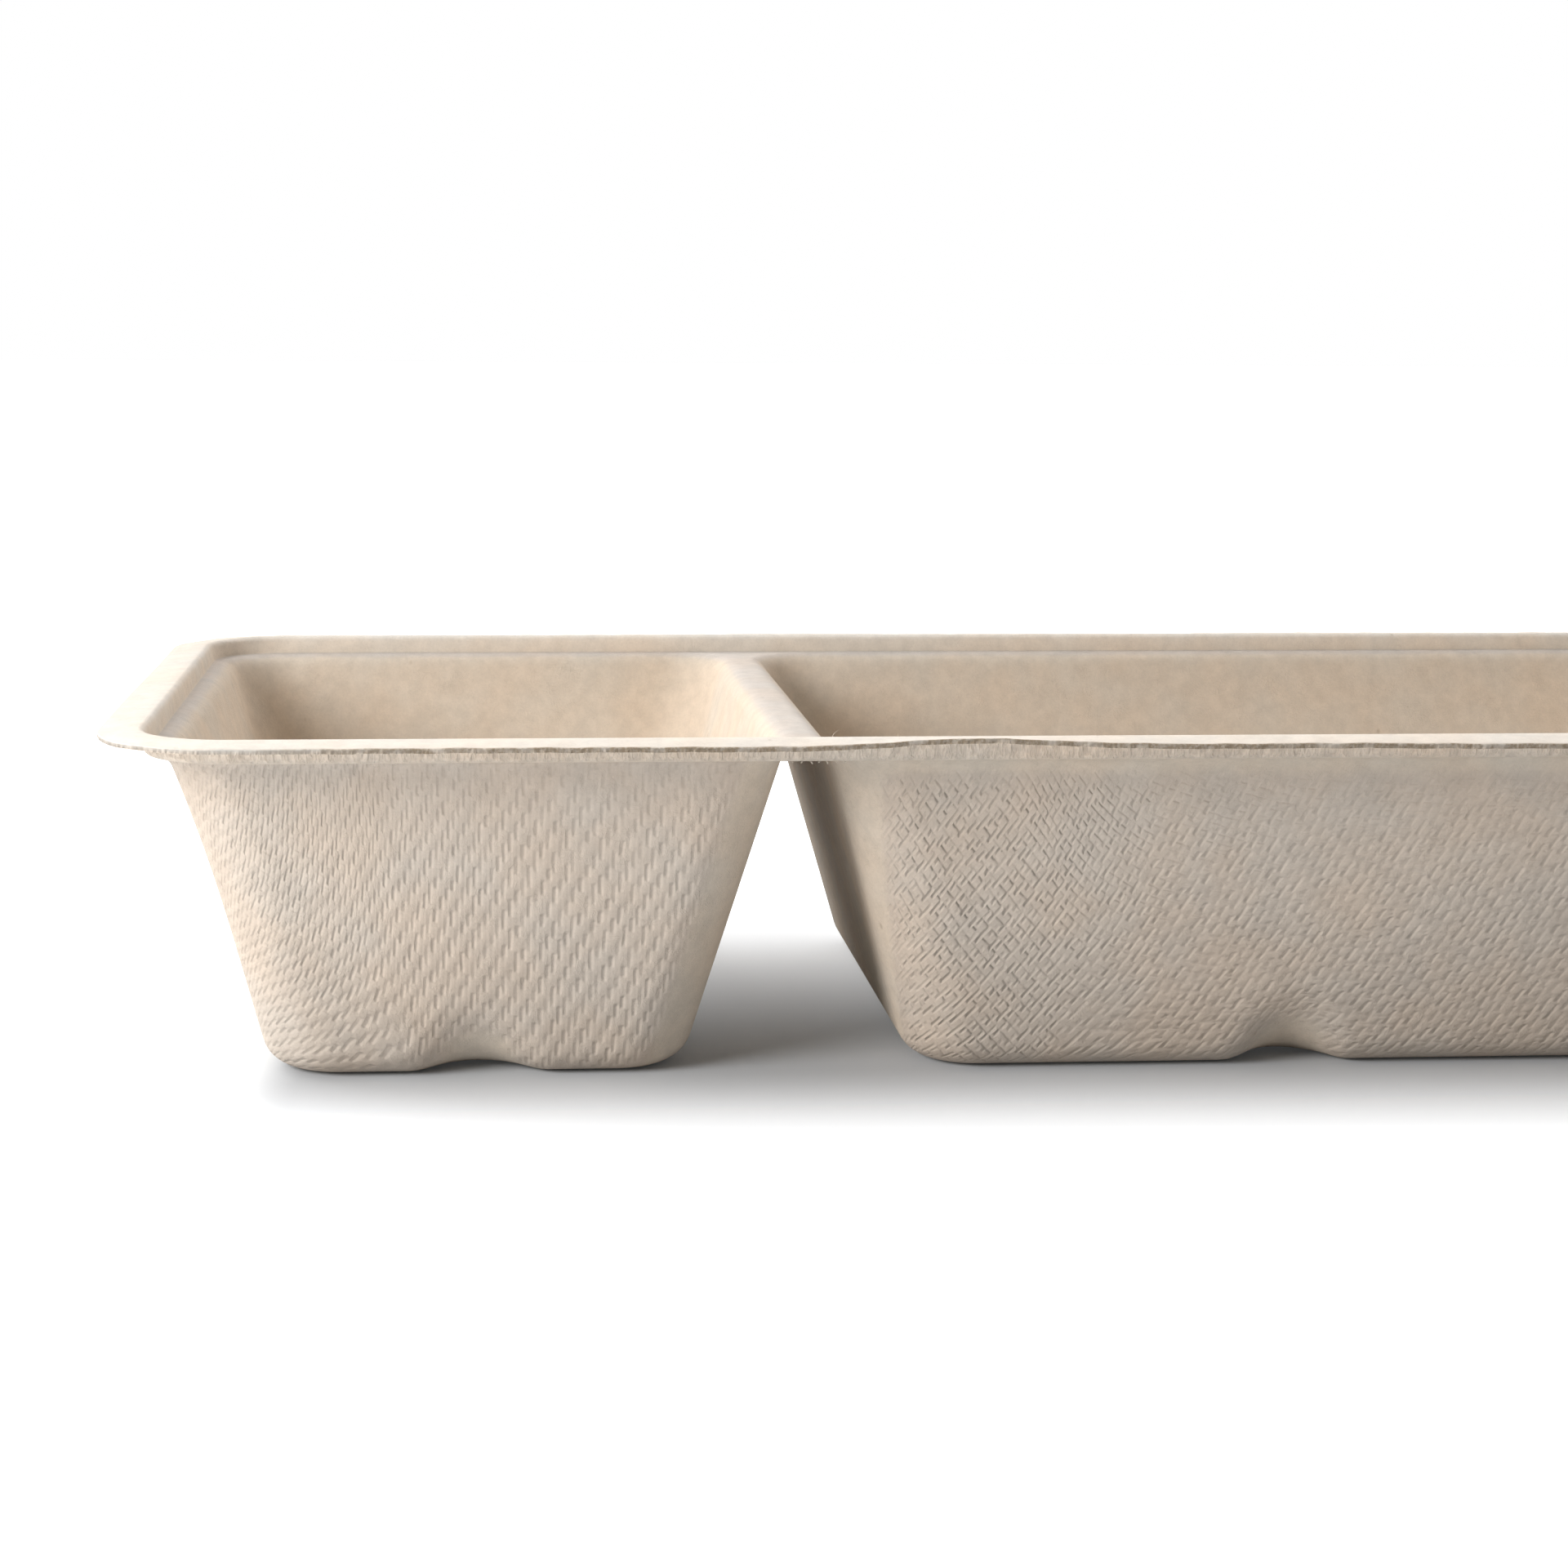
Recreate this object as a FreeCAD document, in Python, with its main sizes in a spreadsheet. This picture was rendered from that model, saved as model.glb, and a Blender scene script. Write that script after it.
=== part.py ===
"""A two-compartment chip tray, hot-pressed in one piece from bagasse pulp, in millimetres.

The tray is one skin of paper with the same thickness all over. A flat flange runs right round
the top. Inside it a small step drops to a narrow ledge, and the two cups hang from that ledge:
a small cup to the left (-X) and a long cup to the right (+X). Between them the ledge carries on
as a divider, and under the divider an open gap, shaped like a tent, runs from front to back.

The skin lies between two solids: the outer form, which is the tray filled solid, and the
hollow, which is everything above its top skin. Both are built from the same sizes.

Frame: +Z is up, the front is -Y, and the origin is at the middle of the underside's box.
"""

import FreeCAD, Part
import math
import os
import Sketcher

# name, millimetres or degrees, what it is
SIZES = [
    ("tray_length", 275, "overall, along X"),
    ("tray_width", 127, "overall, along Y"),
    ("tray_height", 46.4, "from the table to the top of the flange"),
    ("paper_wall", 0.65, "thickness of the pressed pulp"),
    ("flange_width", 5.2, "from the trimmed edge to the step, on the underside"),
    ("flange_corner", 17, "plan radius of the flange's corners"),
    ("step_depth", 2.6, "from the flange's top down to the ledge"),
    ("step_run", 0.5, "how far the step leans inwards over its depth"),
    ("ledge_width", 2.7, "from the step to where a cup's wall line meets the ledge"),
    ("divider_place", 89.1, "from the flange's left end to the middle of the divider"),
    ("divider_gap", 5.8, "between the two cups' wall lines, right under the divider"),
    ("foot_inset", 12, "how far a cup's walls lean inwards over its height"),
    ("corner_round", 9, "radius of the four upright corners of a cup, outside"),
    ("foot_round", 5, "radius between a cup's walls and its base, outside"),
    ("mouth_round", 3.0, "radius where the ledge and the divider roll down into a cup"),
    ("lip_round", 1.0, "radius where the flange rolls down into the step"),
    ("crease_round", 0.3, "radius in the crease between the step and the ledge"),
    ("small_dent_radius", 8, "radius of the dents in the small cup, outside"),
    ("small_dent_crown", 4.9, "height of those dents where the wall line meets the table"),
    ("small_dent_fall", 43, "degrees that their crowns fall, going inwards"),
    ("long_dent_radius", 6.6, "radius of the dents in the long cup, outside"),
    ("long_dent_crown", 5.5, "height of those dents where the wall line meets the table"),
    ("long_dent_fall", 40, "degrees that their crowns fall, going inwards"),
    ("dent_round", 3, "radius over the edges of the dents, outside"),
]

ON_PLANE = 1e-4  # how near an edge lies to a level to count as lying on it
DENT_REACH = 40  # length of the bars that press the dents, longer than any dent
# How far along each cup's base its dents are, from the left.
DENT_PLACES = {"small": ("1 / 2",), "long": ("1 / 3", "2 / 3")}
HEADROOM = 5  # how far the hollow stands clear of the flange, above it and round it

doc = FreeCAD.newDocument("chip_tray")
sheet = doc.addObject("Spreadsheet::Sheet", "Sizes")
for row, (alias, value, meaning) in enumerate(SIZES, start=1):
    sheet.set(f"A{row}", alias)
    sheet.set(f"B{row}", str(value))
    sheet.set(f"C{row}", meaning)
    sheet.setAlias(f"B{row}", alias)
doc.recompute()

# Places that follow from the sizes, as expressions on the sheet.
RIM = "(Sizes.flange_width + Sizes.step_run + Sizes.ledge_width)"
FLANGE_TOP = "Sizes.tray_height"
FLANGE_UNDER = "(Sizes.tray_height - Sizes.paper_wall)"
LEDGE_TOP = "(Sizes.tray_height - Sizes.step_depth)"
LEDGE_UNDER = "(Sizes.tray_height - Sizes.step_depth - Sizes.paper_wall)"
DIVIDER_X = "(Sizes.divider_place - Sizes.tray_length / 2)"
CUP_LEAN = f"(Sizes.foot_inset / {LEDGE_UNDER})"
STEP_LEAN = "(Sizes.step_run / Sizes.step_depth)"


def number(expression):
    """The value that an expression on the sheet has now."""
    return float(sheet.evalExpression(expression.replace("Sizes.", "")))


def skin(lean):
    """How far in the inside of a leaning wall lies, measured one paper thickness higher up."""
    return f"(Sizes.paper_wall * (sqrt(1 + {lean} * {lean}) - {lean}))"


class Outline:
    """A rectangle seen from above, centred on the X axis, with rounded corners or sharp ones."""

    def __init__(self, left, right, half_width, corner="0"):
        self.left, self.right = left, right
        self.half_width, self.corner = half_width, corner

    def inset(self, distance):
        """The same outline drawn in by a distance, with its corners kept concentric."""
        return Outline(
            f"({self.left} + {distance})",
            f"({self.right} - {distance})",
            f"({self.half_width} - {distance})",
            f"({self.corner} - {distance})",
        )


FLANGE = Outline(
    "(-Sizes.tray_length / 2)",
    "(Sizes.tray_length / 2)",
    "(Sizes.tray_width / 2)",
    "Sizes.flange_corner",
)
CUP_HALF_WIDTH = f"(Sizes.tray_width / 2 - {RIM})"
MOUTHS = {
    "small": Outline(
        f"(-Sizes.tray_length / 2 + {RIM})",
        f"({DIVIDER_X} - Sizes.divider_gap / 2)",
        CUP_HALF_WIDTH,
    ),
    "long": Outline(
        f"({DIVIDER_X} + Sizes.divider_gap / 2)",
        f"(Sizes.tray_length / 2 - {RIM})",
        CUP_HALF_WIDTH,
    ),
}


def origin_part(body, role):
    return next(f for f in body.Origin.OriginFeatures if f.Role == role)


def lay_on_table(item, body):
    """Attaches a sketch or a solid to its own body's XY plane."""
    item.AttachmentSupport = [(origin_part(body, "XY_Plane"), "")]
    item.MapMode = "FlatFace"


def draw(body, name, outline, height):
    """A sketch of a rounded outline at a height, with every size bound to the sheet."""
    left, right = number(outline.left), number(outline.right)
    half, corner = number(outline.half_width), number(outline.corner)
    sketch = body.newObject("Sketcher::SketchObject", name)
    lay_on_table(sketch, body)
    sketch.setExpression("AttachmentOffset.Base.z", height)

    up = FreeCAD.Vector(0, 0, 1)
    quarter = math.pi / 2
    centres = [
        FreeCAD.Vector(right - corner, half - corner, 0),
        FreeCAD.Vector(left + corner, half - corner, 0),
        FreeCAD.Vector(left + corner, corner - half, 0),
        FreeCAD.Vector(right - corner, corner - half, 0),
    ]
    arcs = [
        Part.ArcOfCircle(Part.Circle(centre, up, corner), turn * quarter, (turn + 1) * quarter)
        for turn, centre in enumerate(centres)
    ]
    for turn, arc in enumerate(arcs):
        following = arcs[(turn + 1) % 4]
        sketch.addGeometry(arc, False)
        sketch.addGeometry(Part.LineSegment(arc.EndPoint, following.StartPoint), False)

    # Arcs are the even pieces of geometry and sides the odd ones: back, left, front, right.
    origin, start, end = (-1, 1), 1, 2
    back, left_side, front, right_side = 1, 3, 5, 7
    for turn in range(4):
        arc, side, next_arc = 2 * turn, 2 * turn + 1, (2 * turn + 2) % 8
        sketch.addConstraint(Sketcher.Constraint("Tangent", arc, end, side, start))
        sketch.addConstraint(Sketcher.Constraint("Tangent", side, end, next_arc, start))
    sketch.addConstraint(Sketcher.Constraint("Horizontal", back))
    sketch.addConstraint(Sketcher.Constraint("Vertical", left_side))
    for arc in (2, 4, 6):
        sketch.addConstraint(Sketcher.Constraint("Equal", 0, arc))

    def bind(kind, where, expression, label):
        place = sketch.addConstraint(Sketcher.Constraint(kind, *where, number(expression)))
        sketch.renameConstraint(place, label)
        sketch.setExpression(f"Constraints.{label}", expression)

    bind("Radius", (0,), outline.corner, "corner")
    bind("DistanceX", (*origin, left_side, start), outline.left, "left")
    bind("DistanceX", (*origin, right_side, start), outline.right, "right")
    bind("DistanceY", (*origin, back, start), outline.half_width, "back")
    bind("DistanceY", (front, start, *origin), outline.half_width, "front")
    return sketch


def add_plate(body, name, outline, low, thickness):
    """A flat plate with a rounded outline, standing on a height."""
    plate = body.newObject("PartDesign::Pad", name)
    plate.Profile = draw(body, f"{name}_outline", outline, low)
    plate.setExpression("Length", thickness)
    doc.recompute()


def add_step(body, name, top_outline, top, low_outline, low):
    """A shallow block whose sides lean in from one rounded outline to a lower one."""
    step = body.newObject("PartDesign::AdditiveLoft", name)
    step.Profile = draw(body, f"{name}_top", top_outline, top)
    step.Sections = [draw(body, f"{name}_low", low_outline, low)]
    step.Ruled = True
    doc.recompute()


def add_cup(body, name, mouth, mouth_level, foot_level):
    """A sharp-cornered block for a cup: a wedge that narrows from its mouth to its foot."""
    foot = mouth.inset("Sizes.foot_inset")
    block = body.newObject("PartDesign::AdditiveWedge", name)
    lay_on_table(block, body)
    # A wedge narrows along its own Y axis, so it is stood up with that axis along Z.
    stand = FreeCAD.Rotation(FreeCAD.Vector(1, 0, 0), 90)
    block.AttachmentOffset = FreeCAD.Placement(FreeCAD.Vector(), stand)
    for side, expression in {
        "Ymin": foot_level,
        "Ymax": mouth_level,
        "Xmin": foot.left,
        "Xmax": foot.right,
        "Zmin": f"-{foot.half_width}",
        "Zmax": foot.half_width,
        "X2min": mouth.left,
        "X2max": mouth.right,
        "Z2min": f"-{mouth.half_width}",
        "Z2max": mouth.half_width,
    }.items():
        block.setExpression(side, expression)
    doc.recompute()


def lies_in(box, outline):
    """Whether a box, seen from above, lies inside an outline's box."""
    left, right, half = number(outline.left), number(outline.right), number(outline.half_width)
    across = box.XMin > left - ON_PLANE and box.XMax < right + ON_PLANE
    return across and max(-box.YMin, box.YMax) < half + ON_PLANE


def round_edges(body, name, low, high, outline, radius, but_not=()):
    """Rounds the edges that run from one height to another inside an outline, leaving out
    those inside the outlines of but_not."""
    base = body.Tip
    z_low, z_high = number(low), number(high)
    picked = []
    for index, edge in enumerate(base.Shape.Edges, start=1):
        box = edge.BoundBox
        spans = abs(box.ZMin - z_low) < ON_PLANE and abs(box.ZMax - z_high) < ON_PLANE
        left_out = any(lies_in(box, other) for other in but_not)
        if spans and lies_in(box, outline) and not left_out:
            picked.append(f"Edge{index}")
    rounding = body.newObject("PartDesign::Fillet", name)
    rounding.Base = (base, picked)
    rounding.setExpression("Radius", radius)
    doc.recompute()


def add_cups(body, mouths, mouth_level, foot_level, thinner):
    """Both cups as separate blocks, with their upright corners and their feet rounded."""
    for cup, mouth in mouths.items():
        foot = mouth.inset("Sizes.foot_inset")
        add_cup(body, f"{cup}_cup", mouth, mouth_level, foot_level)
        corner_radius = f"Sizes.corner_round - {thinner}"
        foot_radius = f"Sizes.foot_round - {thinner}"
        round_edges(body, f"{cup}_corners", foot_level, mouth_level, mouth, corner_radius)
        round_edges(body, f"{cup}_foot", foot_level, foot_level, foot, foot_radius)


def roll_edges(body, mouths, ledge, ledge_level, step, step_level, under):
    """Rolls the ledge into the cups, the flange into the step, and the step into the ledge.
    On the underside, one paper thickness comes off a roll and goes on to a crease."""
    inside = list(mouths.values())
    crease = f"Sizes.crease_round + {under}"
    round_edges(body, "crease", ledge_level, ledge_level, ledge, crease, but_not=inside)
    for cup, mouth in mouths.items():
        roll = f"Sizes.mouth_round - {under}"
        round_edges(body, f"{cup}_mouth", ledge_level, ledge_level, mouth, roll)
    lip = f"Sizes.lip_round - {under}"
    round_edges(body, "lip", step_level, step_level, step, lip)


def press_dents(body, cup, mouth, growth):
    """Presses all of a cup's dents. Both forms take their places from the cup's outer foot."""
    foot = mouth.inset("Sizes.foot_inset")
    for number, place in enumerate(DENT_PLACES[cup], start=1):
        along = f"({foot.left} + ({foot.right} - {foot.left}) * {place})"
        press_dent(body, cup, foot, along, growth, f"{cup}_dent_{number}")


def press_dent(body, cup, foot, along, growth, name):
    """Cuts a back dent with a round bar that dives under the base, and mirrors it."""
    fall = f"(Sizes.{cup}_dent_fall * 1 deg)"
    crown = f"Sizes.{cup}_dent_crown"
    under_crown = f"Sizes.{cup}_dent_radius / cos({fall})"
    bar = body.newObject("PartDesign::SubtractiveCylinder", name)
    lay_on_table(bar, body)
    bar.Height = DENT_REACH
    bar.setExpression("Radius", f"Sizes.{cup}_dent_radius + {growth}")
    bar.AttachmentOffset = FreeCAD.Placement(
        FreeCAD.Vector(), FreeCAD.Rotation(FreeCAD.Vector(1, 0, 0), 90)
    )
    # The bar passes over the foot of the wall at the middle of its length.
    half_bar = f"{DENT_REACH} / 2"
    bar.setExpression("AttachmentOffset.Rotation.Angle", f"90 deg + {fall}")
    bar.setExpression("AttachmentOffset.Base.x", along)
    bar.setExpression("AttachmentOffset.Base.y", f"{foot.half_width} + {half_bar} * cos({fall})")
    bar.setExpression(
        "AttachmentOffset.Base.z", f"{crown} - {under_crown} + {half_bar} * sin({fall})"
    )
    doc.recompute()
    twin = body.newObject("PartDesign::Mirrored", f"{name}_twin")
    twin.Originals = [bar]
    twin.MirrorPlane = (origin_part(body, "XZ_Plane"), [""])
    body.Tip = twin
    doc.recompute()


def round_dents(body, radius):
    """Rounds over the rims of every dent: the edges of the faces that the bars left."""
    base = body.Tip
    bars = [number(f"Sizes.{cup}_dent_radius") for cup in MOUTHS]
    picked = set()
    for face in base.Shape.Faces:
        axis = getattr(face.Surface, "Axis", None)
        if face.Surface.TypeId != "Part::GeomCylinder" or abs(axis.x) > ON_PLANE:
            continue
        grown = face.Surface.Radius
        if abs(axis.z) > 0.1 and any(-ON_PLANE < grown - bar < 1 for bar in bars):
            for edge in face.Edges:
                picked |= {
                    f"Edge{index}"
                    for index, other in enumerate(base.Shape.Edges, start=1)
                    if other.isSame(edge)
                }
    rounding = body.newObject("PartDesign::Fillet", "dent_rims")
    rounding.Base = (base, sorted(picked))
    rounding.setExpression("Radius", radius)
    doc.recompute()


def outer_form():
    """The tray filled solid: everything under its top skin."""
    body = doc.addObject("PartDesign::Body", "outer_form")
    step = FLANGE.inset("Sizes.flange_width")
    ledge = step.inset("Sizes.step_run")
    add_cups(body, MOUTHS, LEDGE_UNDER, "0", "0")
    add_step(body, "step", step, FLANGE_UNDER, ledge, LEDGE_UNDER)
    add_plate(body, "flange", FLANGE, FLANGE_UNDER, "Sizes.paper_wall")
    roll_edges(body, MOUTHS, ledge, LEDGE_UNDER, step, FLANGE_UNDER, "Sizes.paper_wall")
    for cup, mouth in MOUTHS.items():
        press_dents(body, cup, mouth, "0")
    round_dents(body, "Sizes.dent_round")
    return body


def hollow():
    """The space over the tray's top skin: above the flange, in the step and in both cups."""
    body = doc.addObject("PartDesign::Body", "hollow")
    cup_skin = skin(CUP_LEAN)
    mouths = {cup: mouth.inset(cup_skin) for cup, mouth in MOUTHS.items()}
    step = FLANGE.inset("Sizes.flange_width").inset(skin(STEP_LEAN))
    ledge = step.inset("Sizes.step_run")
    add_cups(body, mouths, LEDGE_TOP, "Sizes.paper_wall", "Sizes.paper_wall")
    add_step(body, "recess", step, FLANGE_TOP, ledge, LEDGE_TOP)
    add_plate(body, "head", FLANGE.inset(f"(-{HEADROOM})"), FLANGE_TOP, f"{HEADROOM}")
    roll_edges(body, mouths, ledge, LEDGE_TOP, step, FLANGE_TOP, "0")
    for cup, mouth in MOUTHS.items():
        press_dents(body, cup, mouth, "Sizes.paper_wall")
    round_dents(body, "Sizes.dent_round - Sizes.paper_wall")
    return body


def make_tray():
    tray = doc.addObject("Part::Cut", "tray")
    tray.Label = "tray"
    tray.Base = outer_form()
    tray.Tool = hollow()
    doc.recompute()
    return tray


def check_document():
    """Stops if any object failed to build."""
    for item in doc.Objects:
        if "Invalid" in item.State or "Error" in item.State:
            raise RuntimeError(f"{item.Label} failed to build: {item.State}")


def export(part):
    shape = part.Shape
    if shape.isNull() or not shape.isValid() or len(shape.Solids) != 1:
        raise RuntimeError(f"{part.Label} isn't one valid solid")
    shape.exportStep(os.path.join("parts", f"{part.Label}.step"))
    print(f"{part.Label}: {shape.Volume / 1000:.2f} cm3, {len(shape.Faces)} faces")


os.makedirs("parts", exist_ok=True)
tray = make_tray()
check_document()
export(tray)
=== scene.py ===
"""A two-compartment chip tray of pressed bagasse, with its soft-lit studio.

The tray is one sheet of paper, built as one closed mesh with an under skin and a top skin.
Each cup has its own half of the mesh, and the two halves meet along the middle of the divider.
The print of the forming mesh on the outside is a bump, driven by a UV map whose unit is one
column of dimples across and one stroke along.

Sizes are in metres. +Z is up and the front is -Y.
"""

import math
from collections import namedtuple

import bmesh
import bpy
import numpy as np
from mathutils import Color, Matrix, Vector


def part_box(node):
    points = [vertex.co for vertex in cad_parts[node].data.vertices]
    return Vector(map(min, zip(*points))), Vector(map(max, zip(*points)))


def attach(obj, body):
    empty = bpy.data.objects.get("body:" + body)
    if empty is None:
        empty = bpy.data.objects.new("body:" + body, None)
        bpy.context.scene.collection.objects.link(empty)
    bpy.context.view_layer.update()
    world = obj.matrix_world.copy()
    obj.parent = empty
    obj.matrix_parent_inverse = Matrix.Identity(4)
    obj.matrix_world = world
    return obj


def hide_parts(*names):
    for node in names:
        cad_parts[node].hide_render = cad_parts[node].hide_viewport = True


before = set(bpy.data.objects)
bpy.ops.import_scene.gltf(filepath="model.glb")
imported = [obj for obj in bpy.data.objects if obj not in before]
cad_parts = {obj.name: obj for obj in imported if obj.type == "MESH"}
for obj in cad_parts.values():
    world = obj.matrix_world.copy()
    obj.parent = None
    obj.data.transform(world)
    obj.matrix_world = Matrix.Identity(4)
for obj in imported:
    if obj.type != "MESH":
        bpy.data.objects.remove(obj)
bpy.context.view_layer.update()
TRAY_LOW, TRAY_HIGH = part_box("tray")

bl_info = {
    "name": "Bagasse chip tray",
    "version": (1, 0, 0),
    "blender": (4, 5, 0),
    "location": "View3D > Sidebar > Chip Tray",
    "description": "Presses a two-compartment chip tray from bagasse pulp and lights it",
    "category": "Object",
}

MM = 0.001
MERGE = 1e-7  # points nearer than this are one point
TOUCH = 1e-6  # nearer than this counts as touching

# How finely the skins are divided.
CORNER_STEPS = 12  # round each upright corner of a cup, an even number
SIDE_STEPS = 58  # along a cup's short sides, the same for both cups
FRONT_STEPS = {"small": 46, "long": 100}
ROLL_STEPS, WALL_STEPS, FOOT_STEPS = 6, 24, 8  # down a cup's mouth, wall and foot
CREASE_STEPS, LIP_STEPS = 3, 5  # round the two bends of the step
BEVEL = 0.1 * MM  # how much the trimmed edge is broken

# How far along each cup's base its dents are, from the left.
DENT_PLACES = {"small": (1 / 2,), "long": (1 / 3, 2 / 3)}
MOST_PUSH = 16 * MM  # a dent pushes the paper no further than this
PUSH_HALVINGS = 40  # how closely the push is found

# What the material reads at each point of the paper.
MARKS = ("print_depth", "cross_grooves", "trimmed", "flange", "top_side")

# The floor's patch of painted shadow under the tray: half its size, and how fast it clears beyond
# that.
PAINTED_SHADOW_PATCH = (113 * MM, 42 * MM, 0.0)
PAINTED_SHADOW_FADE = (2.5, 1.0, 0.0)

LEAD = 1 / 3  # in the print's UV map, each column is this share of a stroke ahead of the last
PRINT_REACH = 110 * MM  # the lie of the mesh is followed this far from a wall's middle
PRINT_MIDDLE = 20 * MM  # height up a wall, along the paper, at which the print lies as given
WALL_RUN = 46 * MM  # about how far a wall reaches, along the paper

# How the forming mesh lies along the front of each cup: millimetres from the wall's middle,
# tilt of the columns in degrees, column pitch and stroke in millimetres, the share of a stroke
# by which each column is ahead of the last, how firmly it has printed, and how strong the
# grooves that cross the columns are.
Lie = namedtuple("Lie", "tilt pitch stroke lead firmness crossing")
MESH_LIE = {
    "small": (
        (-36, 44, 0.58, 3.4, 0.32, 0.75, 0.4),
        (-27, 34, 0.60, 3.5, 0.32, 0.75, 0.35),
        (-19, 20, 0.62, 3.9, 0.30, 0.72, 0.25),
        (-11, 5, 0.68, 4.5, 0.29, 0.7, 0.15),
        (2, 0, 0.77, 4.6, 0.33, 0.67, 0.12),
        (14, 1, 0.82, 4.8, 0.34, 0.64, 0.12),
        (26, 2, 0.80, 4.3, 0.38, 0.64, 0.15),
    ),
    "long": (
        (-80, 42, 0.64, 4.5, 0.29, 1.0, 0.95),
        (-70, 40, 0.68, 4.6, 0.30, 1.15, 0.95),
        (-59, 40, 0.70, 4.7, 0.31, 1.0, 0.85),
        (-45, 38, 0.77, 4.7, 0.41, 0.8, 0.75),
        (-26, 37, 0.78, 4.5, 0.45, 0.74, 0.62),
        (0, 37, 0.78, 4.5, 0.45, 0.72, 0.55),
        (80, 36, 0.78, 4.5, 0.45, 0.66, 0.5),
    ),
}


# Loose fibres, in millimetres: X of the root, whether the fibre hangs from the turned side, its
# height or drop, its lean along X, its curl and its thickness.
LOOSE_FIBRES = (
    (-46.6, False, 0.95, 0.75, -0.22, 0.09),
    (-41.3, False, 0.25, 0.10, 0.05, 0.10),
    (-38.5, False, 0.85, -0.08, 0.10, 0.08),
    (-29.2, False, 0.30, 0.25, 0.08, 0.10),
    (-26.4, False, 0.35, -0.20, 0.08, 0.09),
    (-51.6, True, 0.16, 0.25, 0.05, 0.22),
    (-50.3, True, 0.24, -0.12, 0.06, 0.26),
    (-49.2, True, 0.30, 0.22, 0.05, 0.30),
    (-48.1, True, 0.16, -0.20, 0.05, 0.32),
    (-47.2, True, 0.34, 0.10, 0.08, 0.28),
    (-46.1, True, 0.22, 0.28, 0.05, 0.30),
    (-44.9, True, 0.28, -0.15, 0.06, 0.24),
    (-43.6, True, 0.18, 0.20, 0.05, 0.22),
)


# ---------------------------------------------------------------- properties


def length(name, description, millimetres):
    return bpy.props.FloatProperty(
        name=name, description=description, default=millimetres * MM, unit="LENGTH", precision=5
    )


def angle(name, description, degrees):
    return bpy.props.FloatProperty(
        name=name, description=description, default=math.radians(degrees), subtype="ANGLE"
    )


def share(name, description, value, most=1.0):
    return bpy.props.FloatProperty(
        name=name, description=description, default=value, min=0.0, max=most, subtype="FACTOR"
    )


def colour(name, description, value):
    return bpy.props.FloatVectorProperty(
        name=name, description=description, default=value, size=3, min=0, max=2, subtype="COLOR"
    )


class TrayShape(bpy.types.PropertyGroup):
    """Sizes of the pressed tray."""

    paper: length("Paper", "Thickness of the pressed pulp", 0.65)
    flange_width: length("Flange width", "From the trimmed edge to the step, underneath", 5.2)
    flange_corner: length("Flange corner", "Plan radius of the flange's corners", 17)
    step_depth: length("Step depth", "From the flange down to the ledge", 2.6)
    step_run: length("Step run", "How far the step leans inwards", 0.5)
    ledge_width: length("Ledge width", "From the step to the wall line of a cup", 2.7)
    divider_place: length("Divider", "From the left end to the middle of the divider", 89.1)
    divider_gap: length("Divider gap", "Between the two wall lines under the divider", 5.8)
    foot_inset: length("Foot inset", "How far a cup's walls lean inwards", 12)
    corner_round: length("Corner round", "Upright corners of a cup, outside", 9)
    foot_round: length("Foot round", "Between a cup's walls and its base, outside", 5)
    mouth_round: length("Mouth round", "Where the ledge rolls down into a cup", 3)
    lip_round: length("Lip round", "Where the flange rolls down into the step", 1)
    crease_round: length("Crease round", "In the crease between step and ledge", 0.3)
    small_dent_radius: length("Small dent radius", "Dents of the small cup, outside", 8)
    small_dent_crown: length("Small dent crown", "Height of the small cup's dents", 4.9)
    small_dent_fall: angle("Small dent fall", "How steeply those dents fall inwards", 43)
    long_dent_radius: length("Long dent radius", "Dents of the long cup, outside", 6.6)
    long_dent_crown: length("Long dent crown", "Height of the long cup's dents", 5.5)
    long_dent_fall: angle("Long dent fall", "How steeply those dents fall inwards", 40)
    dent_round: length("Dent round", "Over the rims of the dents, outside", 3)


class DryingWarp(bpy.types.PropertyGroup):
    """How the tray has moved a little in drying."""

    droop: length("Flange droop", "How far the trimmed edge hangs down", 0.45)
    rise: length("Lip rise", "How far the front edge lifts beside the divider", 0.9)
    rise_place: length("Rise place", "Where along X the front edge lifts most", -31)
    rise_reach: length("Rise reach", "Half of the length that lifts", 13)
    end_bow: length("End bow", "How far the left end wall draws in", 0.8)
    side_bow: length("Side bow", "How far the other walls draw in", 0.25)
    foot_spread: length("Foot spread", "How far the left foot spreads", 0.4)
    ripple: length("Ripple", "Height of the slow waves in the walls", 0.1)


class MeshPrint(bpy.types.PropertyGroup):
    """The print that the forming mesh leaves on the outside."""

    depth: length("Depth", "Depth of the dimples that the mesh leaves", 0.25)
    stroke: share("Stroke", "Length of a dimple, as a share of the stroke", 0.4)
    width: share("Width", "Width of a dimple, as a share of the column", 0.85, 2)
    wander: share("Wander", "How far the mesh has strayed from true", 0.3)
    foot_tilt: share("Foot tilt", "How much more the columns tilt at the foot", 0.12)


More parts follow.
